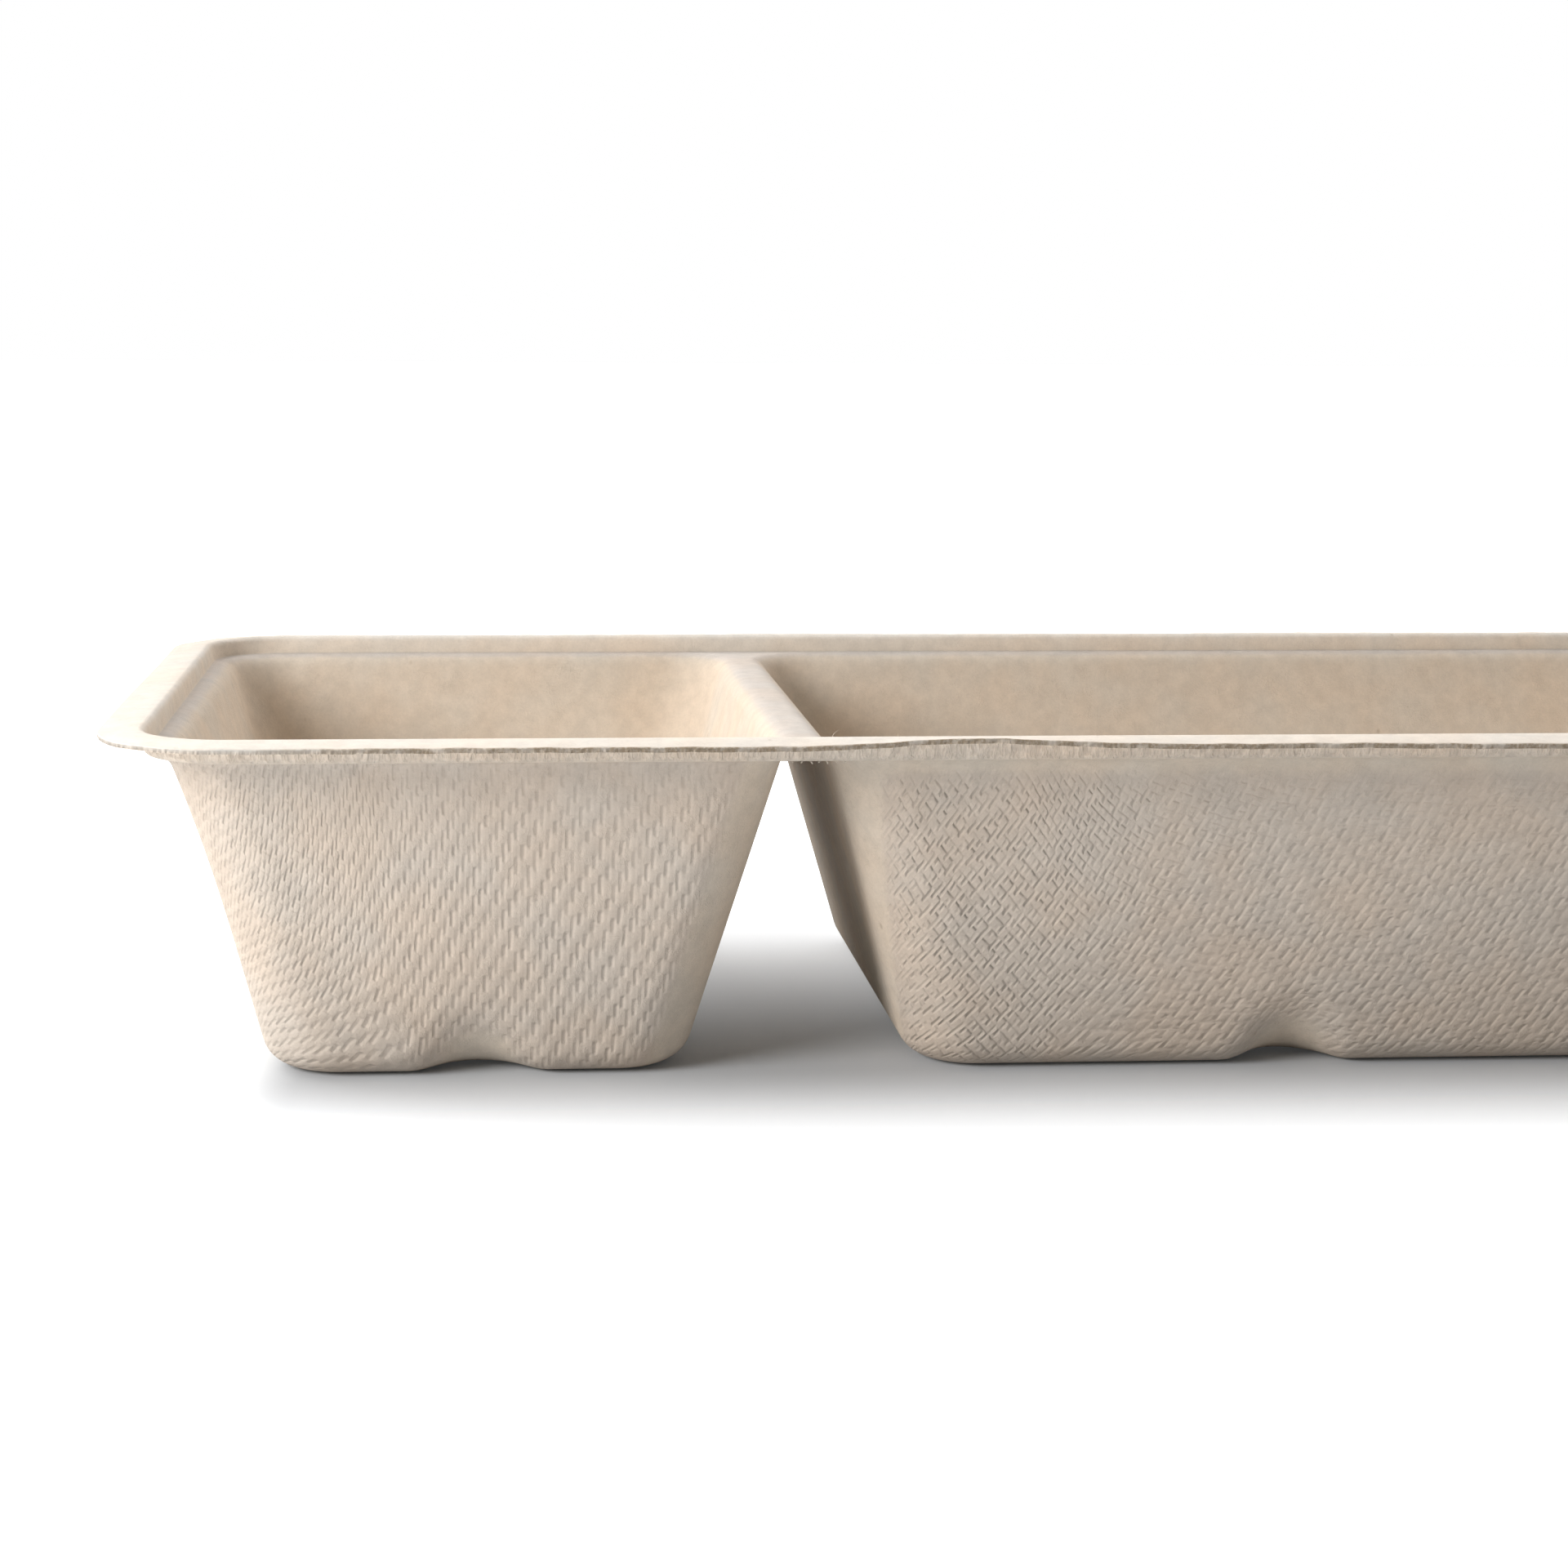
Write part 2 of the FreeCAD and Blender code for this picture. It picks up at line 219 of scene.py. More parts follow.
class PaperLook(bpy.types.PropertyGroup):
    """Colours of the unbleached paper, and tints that paint light and shade on it."""

    paper: colour("Paper", "The pressed pulp", (0.72, 0.615, 0.525))
    warm: colour("Warm patches", "Slow patches of warmer pulp", (0.745, 0.61, 0.50))
    cool: colour("Cool patches", "Slow patches of greyer pulp", (0.685, 0.615, 0.55))
    inside: colour("Inside", "Tint of the smooth inside", (1.0, 1.0, 0.95))
    # Painted shade: the level tint darkens the faces that look up, the divider's top and the
    # floors.
    level: colour("Level", "Tint of the divider's top and the floors", (0.89, 0.92, 0.95))
    # Painted light: the flange, step and turned tints lighten the flange's upper side, its step and
    # its turned side under the lip.
    flange: colour("Flange", "Tint of the flange's upper side", (1.10, 1.155, 1.18))
    step: colour("Step", "Tint of the step down from the flange", (1.25, 1.33, 1.38))
    turned: colour("Turned side", "Tint of the flange's outer and under side", (1.24, 1.235, 1.19))
    outside: colour("Outside", "Tint of the printed outside", (0.9, 0.895, 0.87))
    trimmed: colour("Trimmed edge", "The cut edge of the flange", (0.38, 0.29, 0.2))
    # This colour also paints a little shade into the dimples of the print.
    fleck: colour("Flecks", "Dark bits of stalk in the pulp", (0.40, 0.30, 0.21))


class StudioSet(bpy.types.PropertyGroup):
    """Camera, lamps and floor."""

    camera_place: bpy.props.FloatVectorProperty(
        name="Camera place",
        description="Where the camera stands",
        default=(-90.35 * MM, -413.5 * MM, 97.4 * MM),
        size=3,
        subtype="XYZ",
        unit="LENGTH",
    )
    camera_yaw: angle("Camera yaw", "Turn towards +X", 4.516)
    camera_pitch: angle("Camera pitch", "Tilt down", 7.529)
    camera_roll: angle("Camera roll", "Lean to the side", 0.349)
    lens: bpy.props.FloatProperty(
        name="Lens", description="Focal length on a 36 mm sensor", default=67.206
    )
    shift: bpy.props.FloatVectorProperty(
        name="Shift", description="Shift of the lens, across and up", default=(0.05, -0.05), size=2
    )
    side_power: bpy.props.FloatProperty(
        name="Side power",
        description="Power of the soft box at the left",
        default=2.2,
        unit="POWER",
    )
    back_light: share("Back light", "Strength of the two broad lights behind", 1.0, 5)
    left_light: share("Left light", "Strength of the broad light at the left", 0.4, 5)
    room_light: share("Room light", "Strength of the even light all round", 0.14, 5)
    floor: colour("Floor", "The pale floor", (0.835, 0.865, 0.9))
    foot_shade: share("Foot shade", "How pale the floor stays under the tray", 0.66)


# ---------------------------------------------------------------- the skins


def skin_inset(lean, paper):
    """How far in the inside of a leaning wall lies, measured one paper thickness higher up."""
    return paper * (math.sqrt(1 + lean * lean) - lean)


class Skin:
    """One side of the paper: its levels, its rounds and how far in its walls stand."""

    def __init__(self, shape, on_top):
        paper = shape.paper
        under = 0.0 if on_top else paper
        over = paper if on_top else 0.0
        tall = TRAY_HIGH.z - TRAY_LOW.z
        self.on_top = on_top
        self.rim = tall - under
        self.ledge = self.rim - shape.step_depth
        self.base = over
        self.foot_inset = shape.foot_inset
        self.lean = shape.foot_inset / (tall - shape.step_depth - paper)
        self.steep = math.atan2(1, self.lean)
        self.wall_inset = skin_inset(self.lean, over)
        self.corner = shape.corner_round - over
        self.foot = shape.foot_round - over
        self.roll = shape.mouth_round - under
        self.dent_growth = over
        self.dent_round = shape.dent_round - over
        step_lean = shape.step_run / shape.step_depth
        self.step_steep = math.atan2(1, step_lean)
        self.step_inset = shape.flange_width + skin_inset(step_lean, over)
        self.lip = shape.lip_round - under
        self.crease = shape.crease_round + under
        # Both skins' ledges end where the under skin's crease begins.
        self.crease_line = shape.flange_width + shape.step_run
        deepest = shape.crease_round + paper
        self.crease_edge = self.crease_line + deepest * math.tan(self.step_steep / 2)

    def wall_at(self, height):
        """How far in from the mouth's wall line the straight wall stands at a height."""
        return self.wall_inset + self.lean * (self.ledge - height)

    def cup_rows(self):
        """Height, inset, corner radius and running length of each ring, from roll to foot."""
        half = math.tan(self.steep / 2)
        turn = np.linspace(0, self.steep, ROLL_STEPS + 1)
        roll_inset = self.wall_inset - self.roll * half + self.roll * np.sin(turn)
        roll_height = self.ledge - self.roll * (1 - np.cos(turn))

        back = np.linspace(self.steep, 0, FOOT_STEPS + 1)
        foot_inset = self.wall_at(self.base) + self.foot * half - self.foot * np.sin(back)
        foot_height = self.base + self.foot * (1 - np.cos(back))

        down = spread(WALL_STEPS, [1.0], 3.0, 0.3)[1:-1]
        wall_height = roll_height[-1] + (foot_height[0] - roll_height[-1]) * down
        height = np.concatenate([roll_height, wall_height, foot_height])
        inset = np.concatenate([roll_inset, self.wall_at(wall_height), foot_inset])
        radius = self.corner - (inset - self.wall_at(height))
        steps = np.hypot(np.diff(height), np.diff(inset))
        return height, inset, radius, np.concatenate([[0], np.cumsum(steps)])

    def block(self, inward, height):
        """Distance outside the cup's wall, rounded foot and base, inward from the foot line."""
        start = self.wall_at(self.base) - self.foot_inset
        wall = (start - inward - self.lean * (height - self.base)) / math.hypot(1, self.lean)
        base = self.base - height
        centre = start + self.foot * math.tan(self.steep / 2)
        aside, below = centre - inward, self.base + self.foot - height
        bearing = np.arctan2(aside, below)
        at_foot = (bearing > 0) & (bearing < self.steep)
        return np.where(at_foot, np.hypot(aside, below) - self.foot, np.maximum(wall, base))


def spread(steps, crowded, tight, reach):
    """Fractions from 0 to 1, closer together within reach of the crowded places."""
    fine = np.linspace(0, 1, 4001)
    density = np.ones_like(fine)
    for place in crowded:
        density += tight * np.exp(-(((fine - place) / reach) ** 2))
    run = np.concatenate([[0], np.cumsum((density[1:] + density[:-1]) / 2)])
    return np.interp(np.linspace(0, run[-1], steps + 1), run, fine)


def ease(low, high, value):
    """0 below low, 1 above high, and a smooth rise between."""
    t = np.clip((value - low) / (high - low), 0, 1)
    return t * t * (3 - 2 * t)


class Cup:
    """One cup: where its mouth is, and how its rings are sampled."""

    def __init__(self, name, shape):
        half_length = (TRAY_HIGH.x - TRAY_LOW.x) / 2
        rim = shape.flange_width + shape.step_run + shape.ledge_width
        self.name = name
        self.outer = -1 if name == "small" else 1  # which way the tray's end lies
        self.foot_inset = shape.foot_inset
        self.divider = shape.divider_place - half_length
        inner = self.divider + self.outer * shape.divider_gap / 2
        end = self.outer * (half_length - rim)
        self.left, self.right = min(inner, end), max(inner, end)
        self.half = (TRAY_HIGH.y - TRAY_LOW.y) / 2 - rim
        self.middle = (self.left + self.right) / 2
        self.dent_radius = getattr(shape, f"{name}_dent_radius")
        self.dent_crown = getattr(shape, f"{name}_dent_crown")
        self.dent_fall = getattr(shape, f"{name}_dent_fall")

        foot_left, foot_right = self.left + shape.foot_inset, self.right - shape.foot_inset
        self.dents = [foot_left + (foot_right - foot_left) * f for f in DENT_PLACES[name]]

        span = foot_right - foot_left
        across = spread(FRONT_STEPS[name], DENT_PLACES[name], 1.6, 10 * MM / span)
        along = spread(SIDE_STEPS, [0, 1], 0.8, 0.12)
        turn = np.linspace(0, math.pi / 2, CORNER_STEPS + 1)[1:-1]
        corners = [(0, 0), (1, 0), (1, 1), (0, 1)]
        places, facings = [], []
        for side in range(4):
            start, stop = np.array(corners[side]), np.array(corners[(side + 1) % 4])
            run = across if side % 2 == 0 else along
            places += [start + (stop - start) * f for f in run] + [stop] * len(turn)
            face = (side - 1) * math.pi / 2
            facings += [face] * len(run) + list(face + turn)
        # The first sample is the middle of the front left corner.
        first = CORNER_STEPS // 2
        self.place = np.roll(places, first, axis=0)
        facings = np.roll(facings, first)
        self.facing = np.round(np.stack([np.cos(facings), np.sin(facings)], axis=1), 12)
        self.across_steps = FRONT_STEPS[name] + CORNER_STEPS
        self.along_steps = SIDE_STEPS + CORNER_STEPS

    def walls(self):
        """For each wall, the samples it covers; the front and back take the whole corners."""
        total, half = len(self.place), CORNER_STEPS // 2
        stops = np.cumsum([0, self.across_steps, self.along_steps, self.across_steps])
        reach = {
            "front": (stops[0] - half, stops[1] + half),
            "right": (stops[1] + half, stops[2] - half),
            "back": (stops[2] - half, stops[3] + half),
            "left": (stops[3] + half, total - half),
        }
        return {side: np.arange(a, b + 1) % total for side, (a, b) in reach.items()}

    def spine(self, inset, radius):
        """The corner centres' rectangle for a ring: left, right and half width."""
        return (
            self.left + inset + radius,
            self.right - inset - radius,
            self.half - inset - radius,
        )

    def ring(self, inset, radius, height):
        left, right, half = self.spine(inset, radius)
        x = left + (right - left) * self.place[:, 0] + radius * self.facing[:, 0]
        y = half * (2 * self.place[:, 1] - 1) + radius * self.facing[:, 1]
        return np.stack([x, y, np.full_like(x, height)], axis=1)

    def ledge_ring(self, half_length, half_width, corner, spine, height):
        """The ring where the ledge meets the step, closed along the middle of the divider."""
        near_left, near_right, near_half = spine
        near = near_right if self.outer < 0 else near_left
        far = self.outer * (half_length - corner)
        points, outwards = [], []
        for (fx, fy), (ux, uy) in zip(self.place, self.facing):
            towards_end = ux * self.outer
            if towards_end > 0:
                x, y = far + corner * ux, (2 * fy - 1) * (half_width - corner) + corner * uy
                out = (ux, uy)
            elif towards_end < 0:
                square = 1 / max(abs(ux), abs(uy))
                x = self.divider + (1 - abs(ux) * square) * (near - self.divider)
                y = (2 * fy - 1) * near_half + uy * square * (half_width - near_half)
                out = (0, math.copysign(1, uy)) if uy else (0, 0)
            else:
                ends = (far, near) if self.outer < 0 else (near, far)
                x, y = ends[0] + (ends[1] - ends[0]) * fx, uy * half_width
                out = (0, uy)
            points.append((x, y, height))
            outwards.append(out)
        return np.array(points), np.array(outwards)


def sides_of(ring, cup):
    """Front, right, back and left of a closed ring, each towards +X or +Y."""
    a, b = cup.across_steps, cup.along_steps
    closed = np.concatenate([ring, ring[:1]])
    back, left = closed[a + b : 2 * a + b + 1][::-1], closed[2 * a + b :][::-1]
    return closed[: a + 1], closed[a : a + b + 1], back, left


def fill_base(ring, cup):
    """A grid of points that fills the ring round a cup's base."""
    front, right, back, left = sides_of(ring, cup)
    # Steps along the base follow the steps of its edges.
    u = (arc_share(front) + arc_share(back))[:, None, None] / 2
    v = (arc_share(left) + arc_share(right))[None, :, None] / 2
    bands = (1 - v) * front[:, None] + v * back[:, None] + (1 - u) * left[None] + u * right[None]
    at_front = (1 - u) * front[0] + u * front[-1]
    at_back = (1 - u) * back[0] + u * back[-1]
    return bands - (1 - v) * at_front - v * at_back


def carry_inwards(offsets, cup):
    """Carries the offsets of a base's outline smoothly across it."""
    front, right, back, left = sides_of(offsets, cup)
    u = np.linspace(0, 1, len(front))[:, None, None]
    v = np.linspace(0, 1, len(left))[None, :, None]
    along_x = (1 - u) ** 3 * left[None] + u**3 * right[None]
    along_y = (1 - v) ** 3 * front[:, None] + v**3 * back[:, None]
    carried = along_x * np.array([1, 0, 0]) + along_y * np.array([0, 1, 0])
    # The outline itself keeps its own offsets.
    carried[:, 0], carried[:, -1] = front, back
    carried[0, :], carried[-1, :] = left, right
    return carried


def arc_share(line):
    steps = np.linalg.norm(np.diff(line[:, :2], axis=0), axis=1)
    run = np.concatenate([[0], np.cumsum(steps)])
    return run / run[-1]


def press_dents(points, cup, skin):
    """Pushes a skin up over a bar at each dent, and says how far each point was pushed."""
    inward = cup.half - cup.foot_inset - np.abs(points[:, 1])
    fall, radius = cup.dent_fall, cup.dent_radius
    aside = np.min([np.abs(points[:, 0] - place) for place in cup.dents], axis=0)
    axis_height = cup.dent_crown - radius / math.cos(fall)
    grown = radius + skin.dent_growth

    def outside(push):
        """How far outside the dented form each point is, after a push along the bar's normal."""
        s = inward + push * math.sin(fall)
        z = points[:, 2] + push * math.cos(fall)
        over_axis = (z - axis_height + math.tan(fall) * s) * math.cos(fall)
        bar = grown - np.hypot(aside, over_axis)
        block = skin.block(s, z)
        rim = skin.dent_round
        both = (bar > -rim) & (block > -rim)
        rounded = np.hypot(np.maximum(bar + rim, 0), np.maximum(block + rim, 0)) - rim
        return np.where(both, rounded, np.maximum(bar, block))

    # A dent is far smaller than this zone; elsewhere the bars' lines mean nothing.
    near = (aside < radius + 12 * MM) & (inward < 25 * MM) & (points[:, 2] < 22 * MM)
    low, high = np.zeros(len(points)), np.full(len(points), MOST_PUSH)
    needs = near & (outside(low) > TOUCH)
    for _ in range(PUSH_HALVINGS):
        middle = (low + high) / 2
        out = outside(middle) > TOUCH
        low, high = np.where(out, middle, low), np.where(out, high, middle)
    push = np.where(needs, high, 0.0)
    pressed = points.copy()
    pressed[:, 1] -= np.sign(points[:, 1]) * push * math.sin(fall)
    pressed[:, 2] += push * math.cos(fall)
    return pressed, push


class Sheet:
    """Collects grids of points into one mesh, with what the material needs at each point."""

    def __init__(self):
        self.points, self.faces, self.prints = [], [], []
        self.marks = {name: [] for name in MARKS}
        self.count = 0

    def add(self, points, print_uv=None, **marks):
        """Adds a grid of points; a mark that isn't given is 0 there."""
        rows, columns = points.shape[:2]
        index = self.count + np.arange(rows * columns).reshape(rows, columns)
        face = np.stack(
            [index[:-1, :-1], index[1:, :-1], index[1:, 1:], index[:-1, 1:]], axis=-1
        ).reshape(-1, 4)
        if print_uv is None:
            print_uv = np.zeros((rows, columns, 2))
        self.points.append(points.reshape(-1, 3))
        self.prints.append(print_uv.reshape(-1, 2))
        for name, stored in self.marks.items():
            value = np.broadcast_to(marks.get(name, 0.0), (rows, columns))
            stored.append(np.array(value, float).reshape(-1))
        self.faces.append(face)
        self.count += rows * columns

    def build(self, name, warp):
        """Joins the grids where they meet, warps the whole and makes the mesh."""
        points = np.concatenate(self.points)
        faces = np.concatenate(self.faces)
        print_uv = np.concatenate(self.prints)[faces.reshape(-1)]
        keys = np.round(points / MERGE).astype(np.int64)
        _, first, same = np.unique(keys, axis=0, return_index=True, return_inverse=True)
        faces = same.reshape(-1)[faces]
        mesh = bpy.data.meshes.new(name)
        mesh.from_pydata(warp(points[first]).tolist(), [], faces.tolist())
        layer = mesh.uv_layers.new(name="mesh_print")
        layer.data.foreach_set("uv", print_uv.astype(np.float32).reshape(-1))
        for mark, stored in self.marks.items():
            attribute = mesh.attributes.new(mark, "FLOAT", "POINT")
            values = np.concatenate(stored)
            # Where two grids meet, the lower value holds.
            least = np.full(len(first), np.inf)
            np.minimum.at(least, same.reshape(-1), values)
            attribute.data.foreach_set("value", least.astype(np.float32))
        work = bmesh.new()
        work.from_mesh(mesh)
        bmesh.ops.recalc_face_normals(work, faces=work.faces)
        open_edges = sum(1 for edge in work.edges if not edge.is_manifold)
        work.to_mesh(mesh)
        work.free()
        if open_edges:
            raise RuntimeError(f"{name} has {open_edges} open edges")
        mesh.shade_smooth()
        return mesh


# ---------------------------------------------------------------- the print


def mesh_lie(cup, side, along):
    """How the mesh lies at places along a wall, in radians and metres."""
    table = np.array(MESH_LIE[cup.name], float)
    # The short walls and the base have one lie: that of the front's nearer or middle part.
    rows = {"left": 0, "right": -1, "base": len(table) // 2}
    if side in rows:
        table = table[[rows[side]]]
    places, *columns = table.T
    lie = Lie(*(np.interp(along, places * MM, column) for column in columns))
    return lie._replace(tilt=np.radians(lie.tilt), pitch=lie.pitch * MM, stroke=lie.stroke * MM)


def print_coordinates(cup, side, along, up, printing):
    """Columns and strokes of the mesh at a place on a wall, seen from outside.

    along runs to the right from the wall's middle, and up from its foot.
    """
    fine = np.linspace(-PRINT_REACH, PRINT_REACH, 2201)
    step = fine[1] - fine[0]
    lie = mesh_lie(cup, side, fine)
    catch_up = LEAD - lie.lead
    p_rise, p_run = -np.sin(lie.tilt) / lie.pitch, np.cos(lie.tilt) / lie.pitch
    q_rise = np.cos(lie.tilt) / lie.stroke + catch_up * p_rise
    q_run = np.sin(lie.tilt) / lie.stroke + catch_up * p_run
    raised = up - PRINT_MIDDLE
    more = raised - printing.foot_tilt * raised**2 / (2 * PRINT_MIDDLE)
    # The tilt follows the wall's leaning ends, so it is looked up by the share of the wall, as
    # half way up.
    wide = (cup.right - cup.left) / 2
    half = wide - cup.foot_inset * (1 - np.clip(up / WALL_RUN, 0, 1))
    even = along * (wide - cup.foot_inset / 2) / half

    def at(place, values):
        return np.interp(place, fine, values)

    p = at(along, np.cumsum(p_run) * step) + at(even, p_rise) * more
    q = at(along, np.cumsum(q_run) * step) + at(even, q_rise) * raised
    return np.stack([p, q], axis=-1)


def print_strength(cup, side, along, into_corner, up, tall, push):
    """How deep the mesh has printed: not in the dents, near the ledge or in some corners."""
    towards_divider = "right" if cup.outer < 0 else "left"
    if side == towards_divider:
        return np.zeros_like(along)
    firm = mesh_lie(cup, side, along).firmness
    to_divider = into_corner * (np.sign(along) == -cup.outer)
    if cup.name == "small":
        reach, top = 1.5 * MM, 1 - ease(tall + 1.5 * MM, tall + 3.5 * MM, up)
    else:
        # Low down, the print reaches further round the corner towards the divider.
        reach = (10.5 - 9 * np.clip(up / tall, 0, 1)) * MM
        top = 1 - ease(tall - 3 * MM, tall + 1 * MM, up)
    corner = 1 - ease(0, 3.5 * MM, to_divider - reach)
    # The seam between two pieces of mesh at the tray's ends is pressed flat.
    seam = 1 - 0.9 * ease(10.5 * MM, 13.5 * MM, into_corner - to_divider)
    if side in ("left", "right"):
        seam = ease(0, 4 * MM, cup.half - 24 * MM - np.abs(along))
    foot = ease(0.8 * MM, 3.2 * MM, up)
    return firm * corner * seam * top * foot * (1 - ease(0.1 * MM, 2.4 * MM, push))


# ---------------------------------------------------------------- drying warp


def wall_draw(cup, heights, tall, warp):
    """How far each sample of each ring has drawn in, as offsets in X and Y."""
    h = np.clip(heights / tall, 0, 1)[:, None]
    draw = 1.25 * h * np.sin(math.pi * h)  # nothing at the foot and the mouth
    at_end = warp.side_bow * draw
    if cup.name == "small":
        at_end = warp.end_bow * draw - warp.foot_spread * (1 - h) ** 4
    face_x, face_y = cup.facing[None, :, 0], cup.facing[None, :, 1]
    offset_x = -face_x * np.clip(face_x * cup.outer, 0, 1) * at_end
    offset_y = -face_y * warp.side_bow * draw
    return np.stack([offset_x, offset_y, np.zeros_like(offset_x)], axis=-1)


def flange_warp(points, shape, warp):
    """Lets the flange droop, lifts the front lip and ripples the walls a little."""
    x, y, z = points.T
    # How far out each point lies on the flange: 0 at its root, 1 at its trimmed edge.
    corner = shape.flange_corner
    past_x = np.abs(x) - (TRAY_HIGH.x - corner)
    past_y = np.abs(y) - (TRAY_HIGH.y - corner)
    beyond = np.hypot(np.maximum(past_x, 0), np.maximum(past_y, 0))
    inset = corner - (beyond + np.minimum(np.maximum(past_x, past_y), 0))
    out = np.clip((shape.flange_width - inset) / shape.flange_width, 0, 1)

    # The trimmed edge droops unevenly, and lifts beside the divider at the front.
    bearing = np.arctan2(y, x)
    uneven = 1 + 0.22 * np.sin(5 * bearing + 0.6) + 0.15 * np.sin(11 * bearing)
    front = ease(0, 1, np.clip((-y - 40 * MM) / (15 * MM), 0, 1))
    lift = np.exp(-(((x - warp.rise_place) / warp.rise_reach) ** 2))
    moved = points.copy()
    moved[:, 2] += out**2 * (warp.rise * front * lift - warp.droop * uneven)
    flutter = np.sin(x / MM * 0.9) * np.sin(x / MM * 0.23 + 1)
    moved[:, 2] += 0.06 * MM * out * flutter

    # The long walls ripple most half way up, and the divider and the ends don't.
    loose = np.sin(math.pi * np.clip(z / TRAY_HIGH.z, 0, 1)) ** 2
    wave = np.sin(x / MM * 0.145 + z / MM * 0.11) + np.sin(x / MM * 0.083 - 1.2)
    long_wall = np.sign(y) * ease(20 * MM, 40 * MM, np.abs(y))
    moved[:, 1] += warp.ripple * loose * wave * long_wall
    return moved


# ---------------------------------------------------------------- nodes


class Bench:
    """Adds nodes to a tree and wires them up."""

    def __init__(self, tree):
        self.tree = tree

    def node(self, kind, **settings):
        made = self.tree.nodes.new(kind)
        row, column = divmod(len(self.tree.nodes), 9)
        made.location = (190 * column, -170 * row)
        for name, value in settings.items():
            setattr(made, name, value)
        return made

    def feed(self, socket, source):
        if isinstance(source, bpy.types.NodeSocket):
            self.tree.links.new(source, socket)
        elif isinstance(source, Color):
            socket.default_value = (*source, 1)
        else:
            socket.default_value = source

    def fed(self, made, *sources):
        """Feeds a node's first inputs in their order, and gives its first output."""
        for socket, source in zip(made.inputs, sources):
            self.feed(socket, source)
        return made.outputs[0]

    def sums(self, operation, *sources):
        return self.fed(self.node("ShaderNodeMath", operation=operation), *sources)

    def plus(self, first, second):
        return self.sums("ADD", first, second)

    def minus(self, first, second):
        return self.sums("SUBTRACT", first, second)

    def times(self, first, *others):
        for other in others:
            first = self.sums("MULTIPLY", first, other)
        return first

    def vector(self, operation, *sources):
        return self.fed(self.node("ShaderNodeVectorMath", operation=operation), *sources)

    def scaled(self, vector, factor):
        made = self.node("ShaderNodeVectorMath", operation="SCALE")
        self.feed(made.inputs["Scale"], factor)
        return self.fed(made, vector)

    def between(self, value, low, high, out_low=0.0, out_high=1.0):
        """A smooth step of a value, from one range to another."""
        made = self.node("ShaderNodeMapRange", interpolation_type="SMOOTHSTEP")
        return self.fed(made, value, low, high, out_low, out_high)

    def bell(self, value, reach):
        """1 where a value is 0, falling away on both sides of it."""
        ratio = self.sums("DIVIDE", value, reach)
        return self.sums("EXPONENT", self.times(ratio, ratio, -1.0))

    def noise(self, vector, scale, detail=2.0, roughness=0.5, distortion=0.0):
        made = self.node("ShaderNodeTexNoise")
        self.feed(made.inputs["Vector"], vector)
        for name, value in (
            ("Scale", scale),
            ("Detail", detail),
            ("Roughness", roughness),
            ("Distortion", distortion),
        ):
            made.inputs[name].default_value = value
        return made

    def split(self, vector):
        made = self.node("ShaderNodeSeparateXYZ")
        self.feed(made.inputs[0], vector)
        return made.outputs

    def mixed(self, amount, first, second, blend="MIX"):
        made = self.node("ShaderNodeMix", data_type="RGBA", blend_type=blend)
        for name, source in (("Factor", amount), ("A", first), ("B", second)):
            self.feed(next(s for s in made.inputs if s.name == name and s.enabled), source)
        return next(s for s in made.outputs if s.enabled)

    def tinted(self, shade, tint):
        """A colour multiplied by another."""
        return self.mixed(1.0, shade, tint, "MULTIPLY")

    def grey(self, value):
        return self.fed(self.node("ShaderNodeCombineColor"), value, value, value)

    def group(self, made):
        return self.node("ShaderNodeGroup", node_tree=made)

    def seen(self):
        """1 for a ray that comes straight from the camera, or by way of metal or glass."""
        path = self.node("ShaderNodeLightPath")
        seen = self.sums("MAXIMUM", path.outputs["Is Camera Ray"], path.outputs["Is Glossy Ray"])
        return self.sums("MAXIMUM", seen, path.outputs["Is Transmission Ray"])


def new_group(name, inputs, outputs):
    """An empty node group with its sockets: kind and default for inputs, kind for outputs."""
    group = bpy.data.node_groups.new(name, "ShaderNodeTree")
    for label, (kind, default) in inputs.items():
        socket = group.interface.new_socket(label, in_out="INPUT", socket_type=kind)
        if default is not None:
            socket.default_value = default
    for label, kind in outputs.items():
        group.interface.new_socket(label, in_out="OUTPUT", socket_type=kind)
    bench = Bench(group)
    return bench, bench.node("NodeGroupInput").outputs, bench.node("NodeGroupOutput").inputs


FLOAT, VECTOR = "NodeSocketFloat", "NodeSocketVector"


